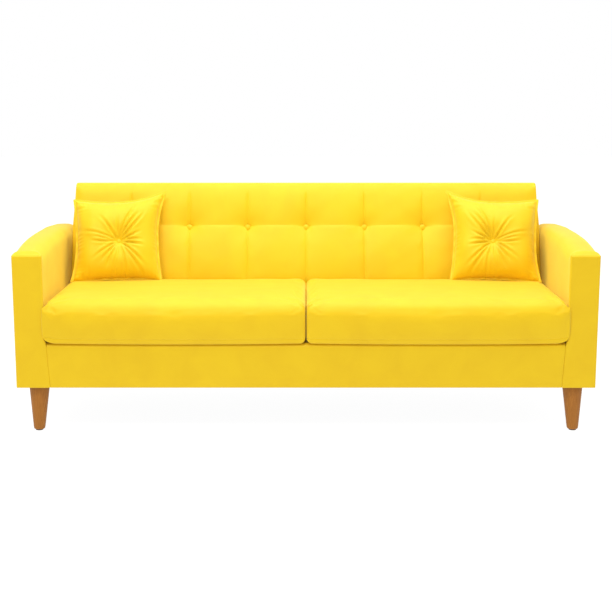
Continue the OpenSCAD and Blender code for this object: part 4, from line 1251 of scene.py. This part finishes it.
def pillow_button_shapes():
    shapes = []
    for way, dent in ((1, dents[0]), (-1, dents[1])):
        middle = np.array([0, -TUFT_DROP, dent - way * 1.5 * MM])
        points, faces = turned(button_profile(PILLOW_BUTTON, 5 * MM), BUTTON_SIDES,
                               along((0, 0, way), middle))
        shapes.append((on_sofa(points), faces))
    return shapes


for side, sign in SIDES.items():
    shapes = pillow_button_shapes()
    if sign < 0:
        shapes = [(points * np.array([-1, 1, 1]), [face[::-1] for face in faces])
                  for points, faces in shapes]
    caps = joined(f"throw_pillow_{side}_button_caps", shapes)
    dress(caps, f"throw_pillow_{side}", VELVET, (f"throw_pillow_{side}_buttons",))

# %% [markdown]
# ## Zips
# Each seat cushion closes with a zip along the middle of its rear side: a woven tape with two rows of
# metal teeth that meet. The teeth are rows of small blocks from the tree above.

# %% Zips
TOOTH_PITCH = 3.0 * MM
TOOTH_SIZE = (1.5 * MM, 0.9 * MM, 2.4 * MM)
ROW_OFF_MIDDLE = 0.9 * MM
for side, sign in SIDES.items():
    low, high = (np.array(v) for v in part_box(f"seat_cushion_{side}_zip"))
    tape_points, tape_quads = box_grid(ruled(low[0], high[0], 0.04), ruled(low[1], high[1], 0.002),
                                       ruled(low[2], high[2], 0.002))
    tape = mesh_object(f"seat_cushion_{side}_zip_tape", tape_points, tape_quads)
    dress(tape, f"seat_cushion_{side}", ZIP_TAPE, (f"seat_cushion_{side}_zip",))
    middle = (low[2] + high[2]) / 2
    paths = [[(x, high[1], middle + z) for x in (low[0] + shift, high[0] - TOOTH_PITCH + shift)]
             for z, shift in ((ROW_OFF_MIDDLE, 0), (-ROW_OFF_MIDDLE, TOOTH_PITCH / 2))]
    teeth = row_along(f"seat_cushion_{side}_zip_teeth", paths, BRASS, TOOTH_PITCH, TOOTH_SIZE)
    dress(teeth, f"seat_cushion_{side}", BRASS)

# %% [markdown]
# ## Dust cover
# The black cloth under the sofa hides the frame from below. It is one flat piece, cut with a margin,
# stretched and stapled to the underside.


def dust_shape():
    low, high = (np.array(v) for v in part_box("dust_cover"))
    points, quads = box_grid(ruled(low[0], high[0], 0.04), ruled(low[1], high[1], 0.04),
                             np.array([low[2], high[2]]))
    from_edge = np.minimum(high[0] - np.abs(points[:, 0]), high[1] - np.abs(points[:, 1]))
    points[:, 2] -= ramp(from_edge, 0.10, 0.3) * (1.5 * MM + 1.5 * MM * soft_waves(points, 0.5, 41))
    return points, quads


dust = mesh_object("dust_sheet", *dust_shape())
dress(dust, "sofa", DUST_CLOTH, ("dust_cover",))

# %% [markdown]
# ## The frame inside
# The frame, springs and fixings keep the shapes they were drawn with. Each gets the finish it would
# have in the workshop: sawn softwood with its grain along the length of the piece, oiled spring steel,
# bright zinc plate, jute webbing and waxed twine.

# %% Finishes for the frame and fixings
FRAME_FINISHES = (
    (RAIL_WOOD, ("seat_front_rail", "seat_rear_rail", "back_top_rail", "back_lower_rail",
                 "corner_blocks")),
    (DEEP_WOOD, ("seat_end_rail_left", "seat_end_rail_right", "seat_cross_rails", "arm_left_rails",
                 "arm_right_rails")),
    (POST_WOOD, ("arm_left_front_post", "arm_left_rear_post", "arm_right_front_post",
                 "arm_right_rear_post")),
    (PLYWOOD, ("back_upright_left", "back_upright_right", "back_centre_uprights")),
    (HARDBOARD, ("outside_back_board", "arm_left_side_boards", "arm_right_side_boards")),
    (SPRING_STEEL, ("seat_springs",)),
    (CLIP, ("spring_clips",)),
    (WEBBING, ("back_webbing",)),
    (TWINE, ("button_twines",)),
    (ZINC, ("staples", "leg_studs", "leg_plates", "leg_plate_screws", "frame_bolts")),
    (GLIDE, ("leg_glides",)),
    (BRASS, ("seat_cushion_left_zip_pull", "seat_cushion_right_zip_pull")),
)
for finish, names in FRAME_FINISHES:
    for name in names:
        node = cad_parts[name]
        node.data.materials.clear()
        node.data.materials.append(finish)
dressed = {name for _, names in FRAME_FINISHES for name in names}
print(len(dressed), "frame nodes finished")

# %% Size of the finished sofa
low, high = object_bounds()
print("visual box", [round(v, 4) for v in (*low, *high)])
